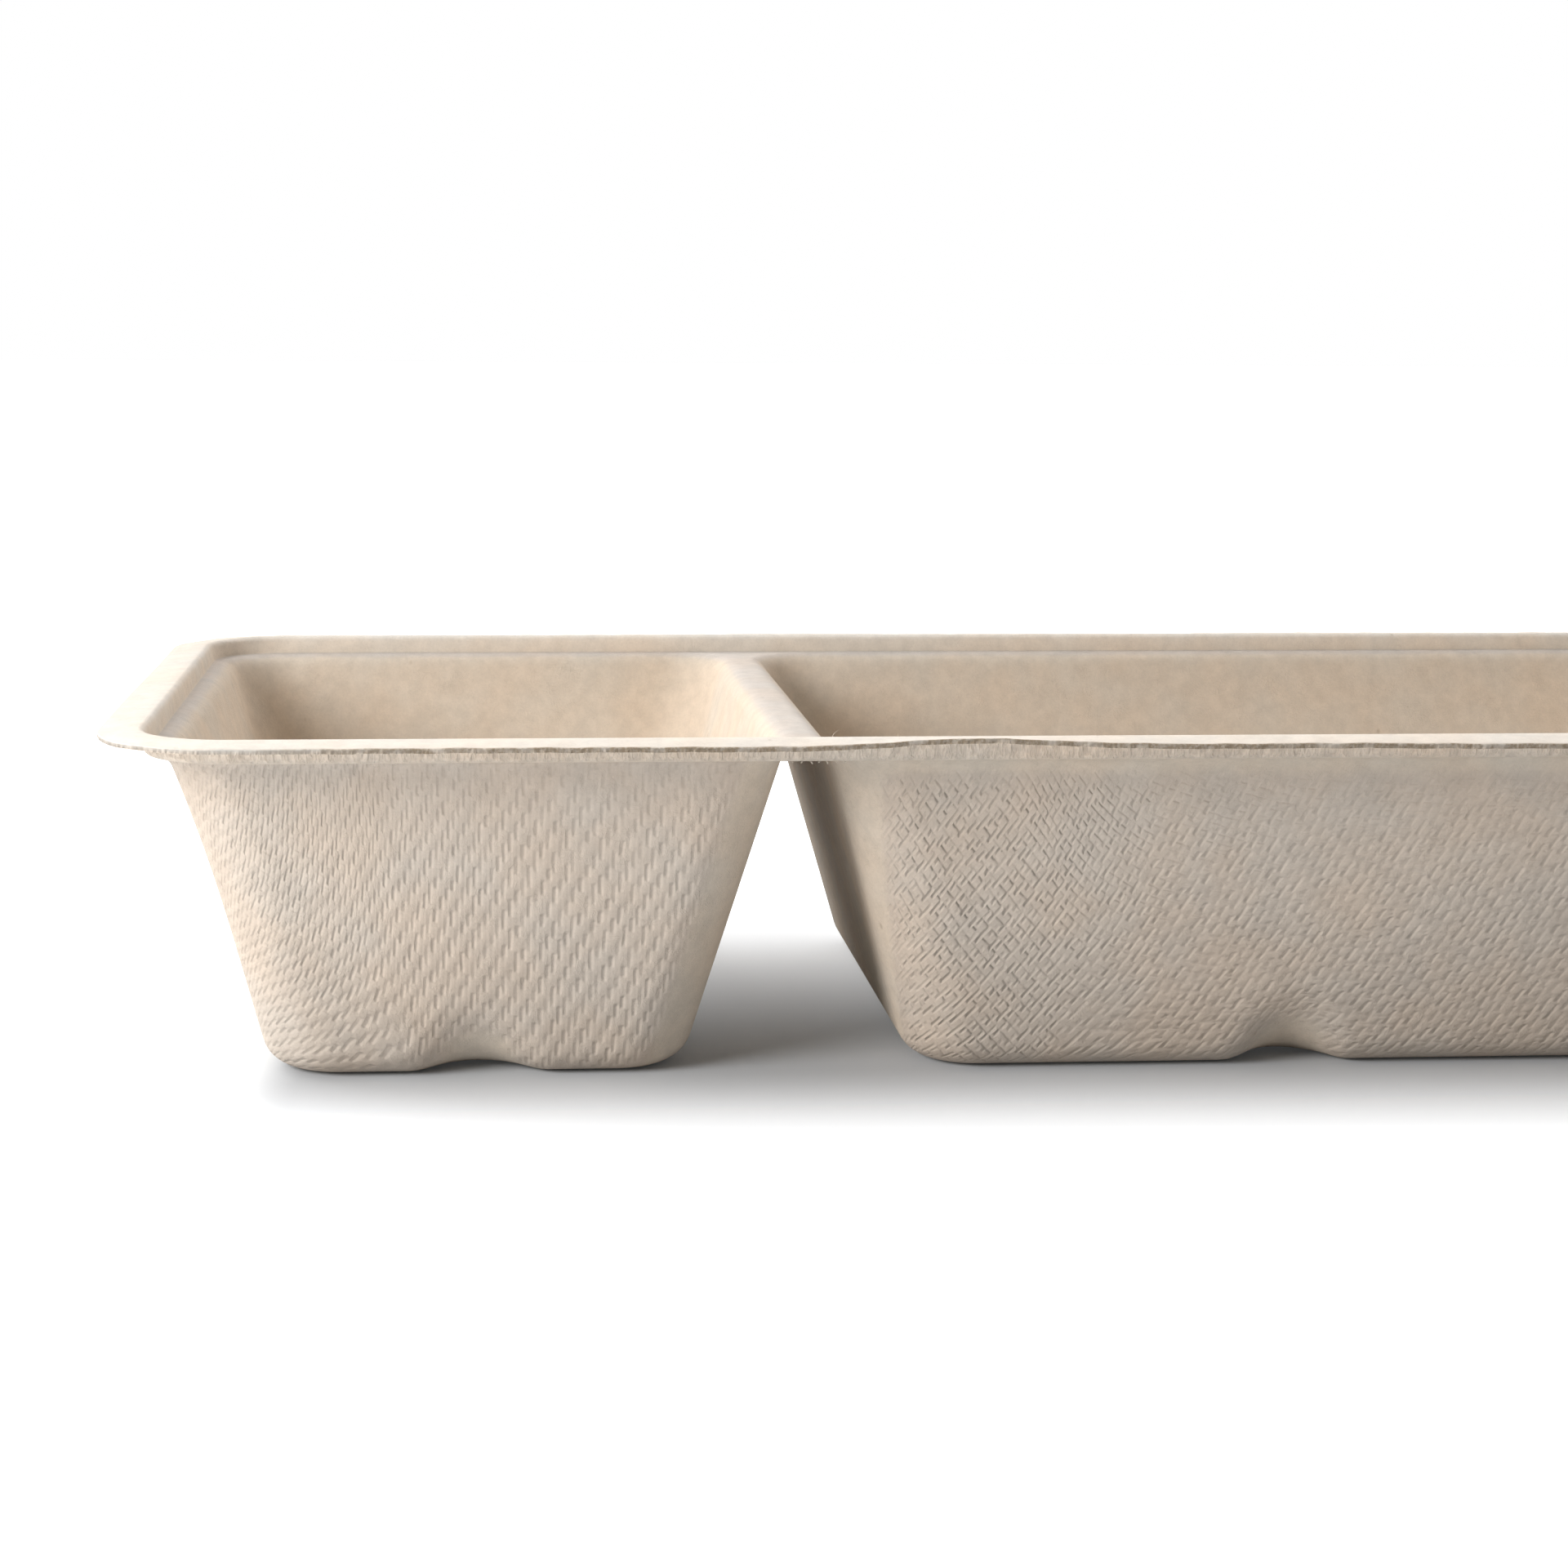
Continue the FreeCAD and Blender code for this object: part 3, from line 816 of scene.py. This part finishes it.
def pressed_mesh_group():
    """Print of a twilled forming mesh: a dimple in each stroke of each column, and the thin
    grooves of the wires across and along."""
    bench, given, put = new_group(
        "Pressed mesh",
        {
            "Vector": (VECTOR, None),
            "Stroke share": (FLOAT, 0.36),
            "Width share": (FLOAT, 0.62),
            "Cross grooves": (FLOAT, 0.5),
            "Wander": (FLOAT, 0.3),
        },
        {"Height": FLOAT, "Groove": FLOAT},
    )
    between, bell, sums = bench.between, bench.bell, bench.sums
    plus, minus, times = bench.plus, bench.minus, bench.times
    crossing = given["Cross grooves"]
    plain = minus(1.0, crossing)

    # The mesh strays a little from true: along the columns, and less across them.
    place = given["Vector"]
    stray = []
    for stretch, amount in (((0.13, 0.6, 1), (2.6, 0.45, 0)), ((0.9, 3.2, 1), (0.5, 0.16, 0))):
        wave = bench.noise(bench.vector("MULTIPLY", place, stretch), 1.0, 1.0)
        drift = bench.vector("SUBTRACT", wave.outputs["Color"], (0.5, 0.5, 0.5))
        stray.append(bench.vector("MULTIPLY", bench.scaled(drift, given["Wander"]), amount))
    p, q = bench.split(bench.vector("ADD", place, bench.vector("ADD", *stray)))[:2]

    # Across and along say where a point lies in its stroke, from -1/2 to 1/2.
    column = sums("ROUND", p)
    across = minus(p, column)
    run = minus(q, times(column, LEAD))
    stroke = sums("ROUND", run)
    along = minus(run, stroke)

    # Each stroke draws its own lots for how firm, how long and how far aside its dimple is.
    both = bench.fed(bench.node("ShaderNodeCombineXYZ"), column, stroke)
    chance = bench.node("ShaderNodeTexWhiteNoise", noise_dimensions="2D")
    bench.feed(chance.inputs["Vector"], both)
    lots = bench.node("ShaderNodeSeparateColor")
    bench.feed(lots.inputs[0], chance.outputs["Color"])
    first_lot, second_lot, third_lot = lots.outputs[:3]
    firmness = between(first_lot, 0.0, 0.9, 0.35, 1.0)
    longer = between(second_lot, 0.0, 1.0, 0.7, 1.45)
    slip = times(minus(third_lot, 0.5), 0.14)
    aside = times(minus(second_lot, 0.5), 0.2)
    # Where both wires print, a dimple stands steeper than its column.
    steeper = times(crossing, crossing, plain, 6.0)
    off_middle = plus(across, sums("MULTIPLY_ADD", along, steeper, aside))

    half = times(given["Stroke share"], sums("MULTIPLY_ADD", crossing, 0.06, 0.5), longer)
    reach = sums("ABSOLUTE", plus(along, slip))
    window = between(reach, minus(half, 0.05), plus(half, 0.07), 1.0, 0.0)
    # A dimple tapers to its lower end, and its right flank is the steeper one.
    width = times(given["Width share"], between(along, -0.25, 0.2, 0.42, 0.6))
    width = times(width, between(off_middle, -0.1, 0.1, 1.2, 0.65))
    dimple = times(bell(off_middle, width), window, firmness)

    # The wires across leave broken grooves, and the wires along leave faint lanes.
    rows = times(q, 1 / LEAD)
    to_row = minus(rows, sums("ROUND", rows))
    cross = times(bell(to_row, between(to_row, -0.08, 0.08, 0.16, 0.26)), crossing)
    cross = times(cross, between(third_lot, 0.2, 0.8, 0.2, 1.2))
    cross = times(cross, between(along, -0.15, 0.15, 1.0, 0.65))
    very_plain = times(plain, plain)
    lane = times(bell(across, 0.3), very_plain, 0.2)
    # The grooves fill what the dimples leave.
    grooved = sums("MULTIPLY_ADD", sums("MAXIMUM", cross, lane), minus(1.0, dimple), dimple)

    # Between the dimples of one column the paper swells a little.
    pad = sums("COSINE", times(across, math.pi))
    pad = times(pad, between(sums("ABSOLUTE", along), 0.16, 0.34))
    pad = times(pad, plain, sums("MINIMUM", crossing, 0.4), 0.9)
    # The twill stands up in slow ridges between the rows of dimples.
    ridge = sums("COSINE", times(sums("MULTIPLY_ADD", p, -LEAD, q), 2 * math.pi))
    ridge = times(ridge, very_plain, very_plain, 0.22)
    grooved = plus(minus(grooved, pad), ridge)
    bench.feed(put["Height"], times(grooved, -1.0))
    bench.feed(put["Groove"], dimple)
    return bench.tree


def pulp_group():
    """Matted fibres, flecks and slow patches of pressed pulp, over a place in millimetres."""
    bench, given, put = new_group(
        "Pressed pulp",
        {"Vector": (VECTOR, None), "Fibre size": (FLOAT, 0.55)},
        {"Height": FLOAT, "Fleck": FLOAT, "Patch": FLOAT, "Mottle": FLOAT, "Grain": FLOAT},
    )
    between, noise, times = bench.between, bench.noise, bench.times
    place = bench.scaled(given["Vector"], given["Fibre size"])
    strands = []
    for stretch in ((1.0, 1.0, 0.35), (0.45, 1.0, 1.0)):
        lines = noise(bench.vector("MULTIPLY", place, stretch), 1.9, 1.5, 0.6, 0.9)
        near = bench.sums("ABSOLUTE", bench.minus(lines.outputs[0], 0.5))
        strands.append(between(near, 0.0, 0.035, 1.0, 0.0))
    broken = between(noise(place, 0.9, 1.0).outputs[0], 0.42, 0.62)
    strand = times(bench.sums("MAXIMUM", *strands), broken)
    grain = noise(place, 5.0, 3.0, 0.6).outputs[0]
    bench.feed(put["Height"], bench.plus(times(strand, 0.6), grain))
    bench.feed(put["Grain"], grain)

    # Flecks are small, long and only in a few of the cells.
    bits = bench.node("ShaderNodeTexVoronoi", feature="F1")
    bench.feed(bits.inputs["Vector"], bench.vector("MULTIPLY", place, (1.0, 1.0, 0.55)))
    bits.inputs["Scale"].default_value = 0.5
    rare = bench.node("ShaderNodeTexWhiteNoise", noise_dimensions="3D")
    bench.feed(rare.inputs["Vector"], bits.outputs["Position"])
    fleck = between(bits.outputs["Distance"], 0.03, 0.12, 1.0, 0.0)
    bench.feed(put["Fleck"], times(fleck, between(rare.outputs[0], 0.86, 0.95)))

    patch = noise(given["Vector"], 0.075, 2.0, 0.55).outputs[0]
    bench.feed(put["Patch"], between(patch, 0.3, 0.7))
    bench.feed(put["Mottle"], noise(given["Vector"], 0.42, 3.0, 0.6).outputs[0])
    return bench.tree


def paper_material(look, printing):
    """Matte unbleached paper, with the mesh print and the fibres as bump."""
    material = bpy.data.materials.new("pressed_bagasse")
    material.use_nodes = True
    bench = Bench(material.node_tree)
    between, mixed, times = bench.between, bench.mixed, bench.times
    surface = material.node_tree.nodes["Principled BSDF"]
    surface.inputs["Roughness"].default_value = 0.86
    surface.inputs["Specular IOR Level"].default_value = 0.35

    def mark(name):
        return bench.node("ShaderNodeAttribute", attribute_name=name).outputs["Fac"]

    depth, flange, top_side = mark("print_depth"), mark("flange"), mark("top_side")
    in_mm = bench.scaled(bench.node("ShaderNodeTexCoord").outputs["Object"], 1 / MM)
    pulp = bench.group(pulp_group())
    bench.feed(pulp.inputs["Vector"], in_mm)
    pulp = pulp.outputs
    mesh = bench.group(pressed_mesh_group())
    bench.feed(mesh.inputs["Vector"], bench.node("ShaderNodeUVMap", uv_map="mesh_print").outputs[0])
    bench.feed(mesh.inputs["Cross grooves"], mark("cross_grooves"))
    mesh.inputs["Stroke share"].default_value = printing.stroke
    mesh.inputs["Width share"].default_value = printing.width
    mesh.inputs["Wander"].default_value = printing.wander
    mesh = mesh.outputs

    # The turned-down side of the flange was drawn over the tool in short upright lines.
    under = times(flange, bench.minus(1.0, top_side))
    lines = bench.vector("MULTIPLY", in_mm, (1.0, 1.0, 0.25))
    lines = bench.noise(lines, 1.5, 2.0, 0.6).outputs[0]
    printed = times(mesh["Height"], depth, printing.depth / MM)
    height = bench.minus(printed, times(lines, under))
    bump = bench.node("ShaderNodeBump")
    bump.inputs["Strength"].default_value = 1.0
    bump.inputs["Distance"].default_value = MM
    bench.feed(bump.inputs["Height"], bench.plus(height, times(pulp["Height"], 0.035)))
    bench.feed(surface.inputs["Normal"], bump.outputs[0])

    # The pulp itself: slow patches, finer mottle and grain, and flecks; then a little painted shade
    # in the dimples of the print, in the flecks' colour.
    shade = mixed(pulp["Patch"], look.cool, look.warm)
    shade = mixed(0.5, shade, look.paper)
    shade = bench.tinted(shade, bench.grey(between(pulp["Mottle"], 0.25, 0.75, 0.94, 1.05)))
    shade = bench.tinted(shade, bench.grey(between(pulp["Grain"], 0.25, 0.75, 0.965, 1.03)))
    shade = mixed(times(pulp["Fleck"], 0.45), shade, look.fleck)
    # Painted shade: the dimples are darkened a little with the flecks' colour.
    shade = mixed(times(mesh["Groove"], depth, 0.03), shade, look.fleck)

    # Each side of the paper has its tint. Tints chosen by which way a face turns paint shade and
    # light: the level faces inside are darker, and the flange's upper side, its step and its turned
    # side are lighter.
    facing = bench.split(bench.node("ShaderNodeNewGeometry").outputs["Normal"])
    level = between(facing[2], 0.75, 0.97)
    # Painted light on the flange's upper side and on its step.
    upper = mixed(level, look.step, look.flange)
    # Painted shade on the level faces inside.
    tint = mixed(level, look.inside, look.level)
    # Painted light on the flange's turned side as well.
    tint = mixed(flange, tint, mixed(top_side, look.turned, upper))
    tint = mixed(between(depth, 0.0, 0.45), tint, look.outside)
    shade = bench.tinted(shade, tint)
    streaks = bench.grey(between(lines, 0.3, 0.65, 1.1, 0.86))
    shade = bench.tinted(shade, mixed(under, (1, 1, 1, 1), streaks))

    # The cut edge is darker, unevenly.
    cut = times(mark("trimmed"), between(pulp["Grain"], 0.2, 0.6, 0.5, 1.0))
    cut = times(cut, between(pulp["Mottle"], 0.35, 0.55, 0.4, 1.0))
    bench.feed(surface.inputs["Base Color"], mixed(cut, shade, look.trimmed))
    return material


# ---------------------------------------------------------------- operators


def add_object(scene, name, data):
    made = bpy.data.objects.new(name, data)
    scene.collection.objects.link(made)
    return made


class CHIPTRAY_OT_press_tray(bpy.types.Operator):
    """Press the tray: both skins, the flange and the print of the mesh"""

    bl_idname = "chiptray.press_tray"
    bl_label = "Press tray"

    def execute(self, context):
        scene = context.scene
        shape, warp, printing = scene.tray_shape, scene.drying_warp, scene.mesh_print
        sheet = Sheet()
        rims = {}
        for on_top in (False, True):
            skin = Skin(shape, on_top)
            cups = [Cup(name, shape) for name in ("small", "long")]
            loops = [self.press_cup(sheet, cup, skin, shape, warp, printing) for cup in cups]
            rims[on_top] = [np.concatenate(parts) for parts in zip(*loops)]
        self.press_rim(sheet, rims, shape)
        mesh = sheet.build("pressed_tray", lambda points: flange_warp(points, shape, warp))
        tray = add_object(scene, "pressed_tray", mesh)
        mesh.materials.append(paper_material(scene.paper_look, printing))
        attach(tray, "root")
        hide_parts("tray")
        return {"FINISHED"}

    def press_cup(self, sheet, cup, skin, shape, warp, printing):
        """One cup of one skin, and the ledge round it up to the divider's middle.

        Gives the ledge's outer points where they meet the step, and their outward directions.
        """
        height, inset, radius, run = skin.cup_rows()
        rings = np.array([cup.ring(*row) for row in zip(inset, radius, height)])
        offsets = wall_draw(cup, height, skin.ledge, warp)
        base, push_base = self.dented(fill_base(rings[-1], cup), cup, skin)
        base = base + carry_inwards(offsets[-1], cup)
        rings, push = self.dented(rings, cup, skin)
        rings = rings + offsets
        same = {"top_side": float(skin.on_top)}

        up = run[-1] - run
        tall = run[-1] - run[ROLL_STEPS]
        for side, picked in cup.walls().items():
            print_uv, marks = None, {}
            if not skin.on_top:
                along, into_corner = self.along_wall(cup, side, picked, inset, radius)
                high = np.broadcast_to(up[:, None], along.shape)
                print_uv = print_coordinates(cup, side, along, high, printing)
                marks["print_depth"] = print_strength(
                    cup, side, along, into_corner, high, tall, push[:, picked]
                )
                marks["cross_grooves"] = mesh_lie(cup, side, along).crossing
            sheet.add(rings[:, picked], print_uv, **marks, **same)

        print_uv, marks = None, {}
        if not skin.on_top:
            x, y = base[..., 0] - cup.middle, base[..., 1]
            print_uv = print_coordinates(cup, "base", x, y + PRINT_MIDDLE, printing)
            firm = ease(0.5 * MM, 5 * MM, self.base_gap(cup, base, inset[-1]))
            firm = firm * (1 - ease(0.1 * MM, 1.6 * MM, push_base))
            marks["print_depth"] = 0.8 * firm
            marks["cross_grooves"] = mesh_lie(cup, "base", x).crossing
        sheet.add(base, print_uv, **marks, **same)

        ledge, outwards = cup.ledge_ring(
            TRAY_HIGH.x - skin.crease_edge,
            TRAY_HIGH.y - skin.crease_edge,
            shape.flange_corner - skin.crease_edge,
            cup.spine(inset[0], radius[0]),
            skin.ledge,
        )
        samples = len(ledge)
        closed = np.arange(samples + 1) % samples
        sheet.add(np.stack([ledge[closed], rings[0][closed]]), **same)
        a, b = cup.across_steps, cup.along_steps
        if cup.name == "small":
            picked = np.arange(a + b, samples + a) % samples
        else:
            picked = np.arange(0, 2 * a + b)
        return ledge[picked], outwards[picked]

    def dented(self, grid, cup, skin):
        """A grid of points with the dents pressed in, and how far each was pushed."""
        pressed, push = press_dents(grid.reshape(-1, 3), cup, skin)
        return pressed.reshape(grid.shape), push.reshape(grid.shape[:2])

    def along_wall(self, cup, side, picked, inset, radius):
        """Distance to the right of a wall's middle, and how far round a corner, per sample."""
        axis = 0 if side in ("front", "back") else 1
        sign = 1 if side in ("front", "right") else -1
        middle = cup.middle if axis == 0 else 0.0
        turned = CORNER_STEPS if side in ("front", "back") else 0
        columns = len(picked)
        turn = np.zeros(columns)
        if turned:
            turn[: turned + 1] = -np.linspace(math.pi / 2, 0, turned + 1)
            turn[-turned - 1 :] = np.linspace(0, math.pi / 2, turned + 1)
        round_corner = np.abs(turn)[None] * radius[:, None]
        straight = np.clip(np.arange(columns), turned, columns - 1 - turned)
        line = np.array(
            [cup.ring(i, r, 0.0)[picked][straight][:, axis] for i, r in zip(inset, radius)]
        )
        along = sign * (line - middle) + np.sign(turn)[None] * round_corner
        return along, round_corner

    def base_gap(self, cup, base, inset):
        """How far inside the base's own outline each point lies."""
        gap_x = (cup.right - cup.left) / 2 - inset - np.abs(base[..., 0] - cup.middle)
        gap_y = cup.half - inset - np.abs(base[..., 1])
        return np.minimum(gap_x, gap_y)

    def press_rim(self, sheet, rims, shape):
        """The step and the flange round the whole tray, over its trimmed edge and back."""
        skins = {on_top: Skin(shape, on_top) for on_top in (True, False)}
        edge, crease_line = skins[True].crease_edge, skins[True].crease_line
        path = [(*row, True) for row in self.rim_path(skins[True], shape)]
        path += [(*row, False) for row in reversed(self.rim_path(skins[False], shape))]
        outwards = rims[True][1]
        grid, trimmed, flange = [], [], []
        for inset, height, on_top in path:
            ring = rims[on_top][0].copy()
            ring[:, :2] += outwards * (edge - inset)
            ring[:, 2] = height
            grid.append(ring)
            # The cut's colour covers the edge itself and a little of the bevel.
            trimmed.append(1.0 if inset < 0.6 * BEVEL else (0.35 if inset < 1.3 * BEVEL else 0.0))
            flange.append(1 - ease(crease_line - 0.5 * MM, edge, inset))
        grid = np.array(grid)
        closed = np.arange(grid.shape[1] + 1) % grid.shape[1]
        grid = grid[:, closed]
        # The cut is paler towards the left end.
        darker = 0.25 + 0.75 * ease(-128 * MM, -95 * MM, grid[..., 0])
        sheet.add(
            grid,
            trimmed=np.array(trimmed)[:, None] * darker,
            flange=np.array(flange)[:, None],
            top_side=np.array([float(on_top) for _, _, on_top in path])[:, None],
        )

    def rim_path(self, skin, shape):
        """Inset and height of one skin, from the ledge up the step and out to the trimmed edge."""
        half = math.tan(skin.step_steep / 2)
        start = skin.step_inset + shape.step_run + skin.crease * half
        crease = [
            (start - skin.crease * math.sin(t), skin.ledge + skin.crease * (1 - math.cos(t)))
            for t in np.linspace(0, skin.step_steep, CREASE_STEPS + 1)
        ]
        # The under skin's crease begins right at the ledge's edge.
        path = [(skin.crease_edge, skin.ledge)]
        path += crease if skin.crease_edge - start > TOUCH else crease[1:]
        stop = skin.step_inset - skin.lip * half
        path += [
            (stop + skin.lip * math.sin(t), skin.rim - skin.lip * (1 - math.cos(t)))
            for t in np.linspace(skin.step_steep, 0, LIP_STEPS + 1)
        ]
        path += [(stop * share_left, skin.rim) for share_left in (0.75, 0.5, 0.25, 0.1)]
        drop = BEVEL if skin.on_top else -BEVEL
        path += [(1.2 * BEVEL, skin.rim), (0.45 * BEVEL, skin.rim - 0.12 * drop)]
        return path + [(0.0, skin.rim - drop)]


class CHIPTRAY_OT_lay_fibres(bpy.types.Operator):
    """Leave a few loose fibres on the front lip, beside the divider"""

    bl_idname = "chiptray.lay_fibres"
    bl_label = "Lay fibres"

    def execute(self, context):
        scene = context.scene
        shape, warp = scene.tray_shape, scene.drying_warp
        paper = bpy.data.materials.get("pressed_bagasse")
        if paper is None:
            raise RuntimeError("The fibres share the tray's paper, so the tray is pressed first")
        points, faces = [], []
        for root_x, hangs, rise, lean, curl, thick in LOOSE_FIBRES:
            skin = Skin(shape, not hangs)
            inset, height = shape.flange_width - 0.3 * MM, skin.rim - 0.1 * MM
            if hangs:
                inset, height = skin.crease_line, skin.ledge + 0.05 * MM
            foot = np.array([[root_x * MM, inset - TRAY_HIGH.y, height]])
            reach = np.array([lean, 0.0, -rise if hangs else rise]) * MM
            foot = flange_warp(foot, shape, warp)[0]
            self.add_fibre(points, faces, foot, reach, curl * MM, thick * MM / 2)
        mesh = bpy.data.meshes.new("loose_fibres")
        mesh.from_pydata(points, [], faces)
        mesh.shade_smooth()
        fibres = add_object(scene, "loose_fibres", mesh)
        mesh.materials.append(paper)
        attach(fibres, "root")
        return {"FINISHED"}

    def add_fibre(self, points, faces, foot, reach, curl, radius, steps=8, sides=6):
        """A thin tapering tube along a slightly curled line, closed at both ends."""
        first = len(points)
        for step in range(steps + 1):
            t = step / steps
            middle = foot + reach * t + np.array([curl * math.sin(math.pi * t), 0, 0])
            thin = radius * (1 - 0.7 * t)
            for side in range(sides):
                turn = 2 * math.pi * side / sides
                points.append(tuple(middle + thin * np.array([math.cos(turn), math.sin(turn), 0])))
        made = []
        for step in range(steps):
            for side in range(sides):
                a = first + step * sides + side
                b = first + step * sides + (side + 1) % sides
                made.append((a, b, b + sides, a + sides))
        made.append(tuple(range(first, first + sides))[::-1])
        made.append(tuple(range(first + steps * sides, first + (steps + 1) * sides)))
        # A hanging fibre is built downwards, so its faces are turned over.
        faces += made if reach[2] > 0 else [face[::-1] for face in made]


class CHIPTRAY_OT_set_studio(bpy.types.Operator):
    """Lay the floor, hang the soft boxes and place the camera"""

    bl_idname = "chiptray.set_studio"
    bl_label = "Set studio"

    def execute(self, context):
        studio = context.scene.studio_set
        self.place_camera(context.scene, studio)
        self.lay_floor(context.scene, studio)
        self.hang_lamps(context.scene, studio)
        self.light_room(context.scene, studio)
        context.scene.view_settings.view_transform = "Standard"
        return {"FINISHED"}

    def place_camera(self, scene, studio):
        camera = add_object(scene, "camera", bpy.data.cameras.new("camera"))
        yaw, pitch, roll = studio.camera_yaw, studio.camera_pitch, studio.camera_roll
        ahead = Vector(
            (math.sin(yaw) * math.cos(pitch), math.cos(yaw) * math.cos(pitch), -math.sin(pitch))
        )
        right = Vector((math.cos(yaw), -math.sin(yaw), 0))
        up = right.cross(ahead)
        right, up = (
            right * math.cos(roll) + up * math.sin(roll),
            up * math.cos(roll) - right * math.sin(roll),
        )
        turn = Matrix((right, up, -ahead)).transposed().to_4x4()
        camera.matrix_world = Matrix.Translation(studio.camera_place) @ turn
        camera.data.sensor_width = 36
        camera.data.lens = studio.lens
        camera.data.shift_x, camera.data.shift_y = studio.shift
        camera.data.clip_start = 0.01
        scene.camera = camera

    def lay_floor(self, scene, studio):
        mesh = bpy.data.meshes.new("floor")
        wide, low = 6.0, -0.1 * MM
        corners = [(-wide, -wide), (wide, -wide), (wide, wide), (-wide, wide)]
        mesh.from_pydata([(x, y, low) for x, y in corners], [], [(0, 1, 2, 3)])
        floor = add_object(scene, "floor", mesh)
        mesh.materials.append(self.floor_material(studio))

    def floor_material(self, studio):
        """Matte, with painted shadow round the tray's foot, clearing to white some 60 mm away from
        it.
        """
        material = bpy.data.materials.new("pale_floor")
        material.use_nodes = True
        material.node_tree.nodes.clear()
        bench = Bench(material.node_tree)
        place = bench.node("ShaderNodeTexCoord").outputs["Object"]
        apart = bench.vector("SUBTRACT", bench.vector("ABSOLUTE", place), PAINTED_SHADOW_PATCH)
        apart = bench.vector("MULTIPLY", apart, PAINTED_SHADOW_FADE)
        away = bench.node("ShaderNodeVectorMath", operation="LENGTH")
        bench.feed(away.inputs[0], bench.vector("MAXIMUM", apart, (0.0, 0.0, 0.0)))
        away = away.outputs["Value"]
        # Painted light: the glow rises from nothing at the tray's foot to full some way out, over
        # the outer part of the tray's shadow.
        clear = bench.between(away, -5 * MM, 64 * MM)
        # Painted light: towards the back the floor glows half clear, however near the tray it is.
        behind = bench.between(bench.split(place)[1], -50 * MM, 60 * MM, 0.0, 0.58)
        glow = bench.node("ShaderNodeEmission")
        clear = bench.sums("MAXIMUM", clear, behind)
        bench.feed(glow.inputs["Strength"], bench.times(bench.seen(), clear))
        # Painted shadow: the floor is darker round the tray's foot.
        painted_shadow = bench.between(away, 0.0, 30 * MM, studio.foot_shade, 1.0)
        matte = bench.node("ShaderNodeBsdfDiffuse")
        bench.feed(matte.inputs["Color"], bench.mixed(painted_shadow, (0, 0, 0, 1), studio.floor))
        both = bench.fed(bench.node("ShaderNodeAddShader"), matte.outputs[0], glow.outputs[0])
        # From below, the floor can be seen through.
        from_below = bench.node("ShaderNodeNewGeometry").outputs["Backfacing"]
        clear_glass = bench.node("ShaderNodeBsdfTransparent").outputs[0]
        made = bench.fed(bench.node("ShaderNodeMixShader"), from_below, both, clear_glass)
        bench.feed(bench.node("ShaderNodeOutputMaterial").inputs["Surface"], made)
        return material

    def hang_lamps(self, scene, studio):
        """Broad lights, each with its strength, how many degrees wide it is and where it hangs,
        and one soft box near the tray."""
        for name, strength, wide, way in (
            ("back_left_light", 2.0 * studio.back_light, 60, (-0.5, 0.6, 0.65)),
            ("back_right_light", 1.4 * studio.back_light, 60, (0.5, 0.6, 0.65)),
            ("left_light", studio.left_light, 50, (-0.85, -0.05, 0.5)),
        ):
            lamp = bpy.data.lights.new(name, "SUN")
            lamp.energy, lamp.angle = strength, math.radians(wide)
            self.hang(scene, lamp, Vector(way), Vector((0, 0, 0)))
        lamp = bpy.data.lights.new("side_box", "AREA")
        lamp.energy, lamp.shape, lamp.size = studio.side_power, "DISK", 0.25
        self.hang(scene, lamp, Vector((-0.45, -0.30, 0.25)), Vector((-0.09, -0.03, 0.03)))

    def hang(self, scene, lamp, place, target):
        box = add_object(scene, lamp.name, lamp)
        box.location = place
        box.rotation_mode = "QUATERNION"
        box.rotation_quaternion = (target - place).to_track_quat("-Z", "Y")

    def light_room(self, scene, studio):
        """Even light all round, and white wherever the room itself is seen."""
        world = bpy.data.worlds.new("even_room")
        scene.world = world
        world.use_nodes = True
        world.node_tree.nodes.clear()
        bench = Bench(world.node_tree)
        lights = []
        for strength in (studio.room_light, 1.0):
            light = bench.node("ShaderNodeBackground")
            light.inputs["Color"].default_value = (1, 1, 1, 1)
            light.inputs["Strength"].default_value = strength
            lights.append(light.outputs[0])
        made = bench.fed(bench.node("ShaderNodeMixShader"), bench.seen(), *lights)
        bench.feed(bench.node("ShaderNodeOutputWorld").inputs["Surface"], made)


class CHIPTRAY_PT_panel(bpy.types.Panel):
    """Steps and sizes of the chip tray"""

    bl_idname = "CHIPTRAY_PT_panel"
    bl_label = "Chip Tray"
    bl_space_type = "VIEW_3D"
    bl_region_type = "UI"
    bl_category = "Chip Tray"

    def draw(self, context):
        for step in STEPS:
            self.layout.operator(step.bl_idname)
        for name, group in SETTINGS.items():
            box = self.layout.box()
            box.label(text=group.__doc__)
            for field in group.__annotations__:
                box.prop(getattr(context.scene, name), field)


SETTINGS = {
    "tray_shape": TrayShape,
    "drying_warp": DryingWarp,
    "mesh_print": MeshPrint,
    "paper_look": PaperLook,
    "studio_set": StudioSet,
}
STEPS = (CHIPTRAY_OT_press_tray, CHIPTRAY_OT_lay_fibres, CHIPTRAY_OT_set_studio)


def register():
    for cls in (*SETTINGS.values(), *STEPS, CHIPTRAY_PT_panel):
        bpy.utils.register_class(cls)
    for name, group in SETTINGS.items():
        setattr(bpy.types.Scene, name, bpy.props.PointerProperty(type=group))


def unregister():
    for name in SETTINGS:
        delattr(bpy.types.Scene, name)
    for cls in reversed((*SETTINGS.values(), *STEPS, CHIPTRAY_PT_panel)):
        bpy.utils.unregister_class(cls)


def main():
    register()
    for step in STEPS:
        family, name = step.bl_idname.split(".")
        getattr(getattr(bpy.ops, family), name)()


if __name__ == "__main__":
    main()
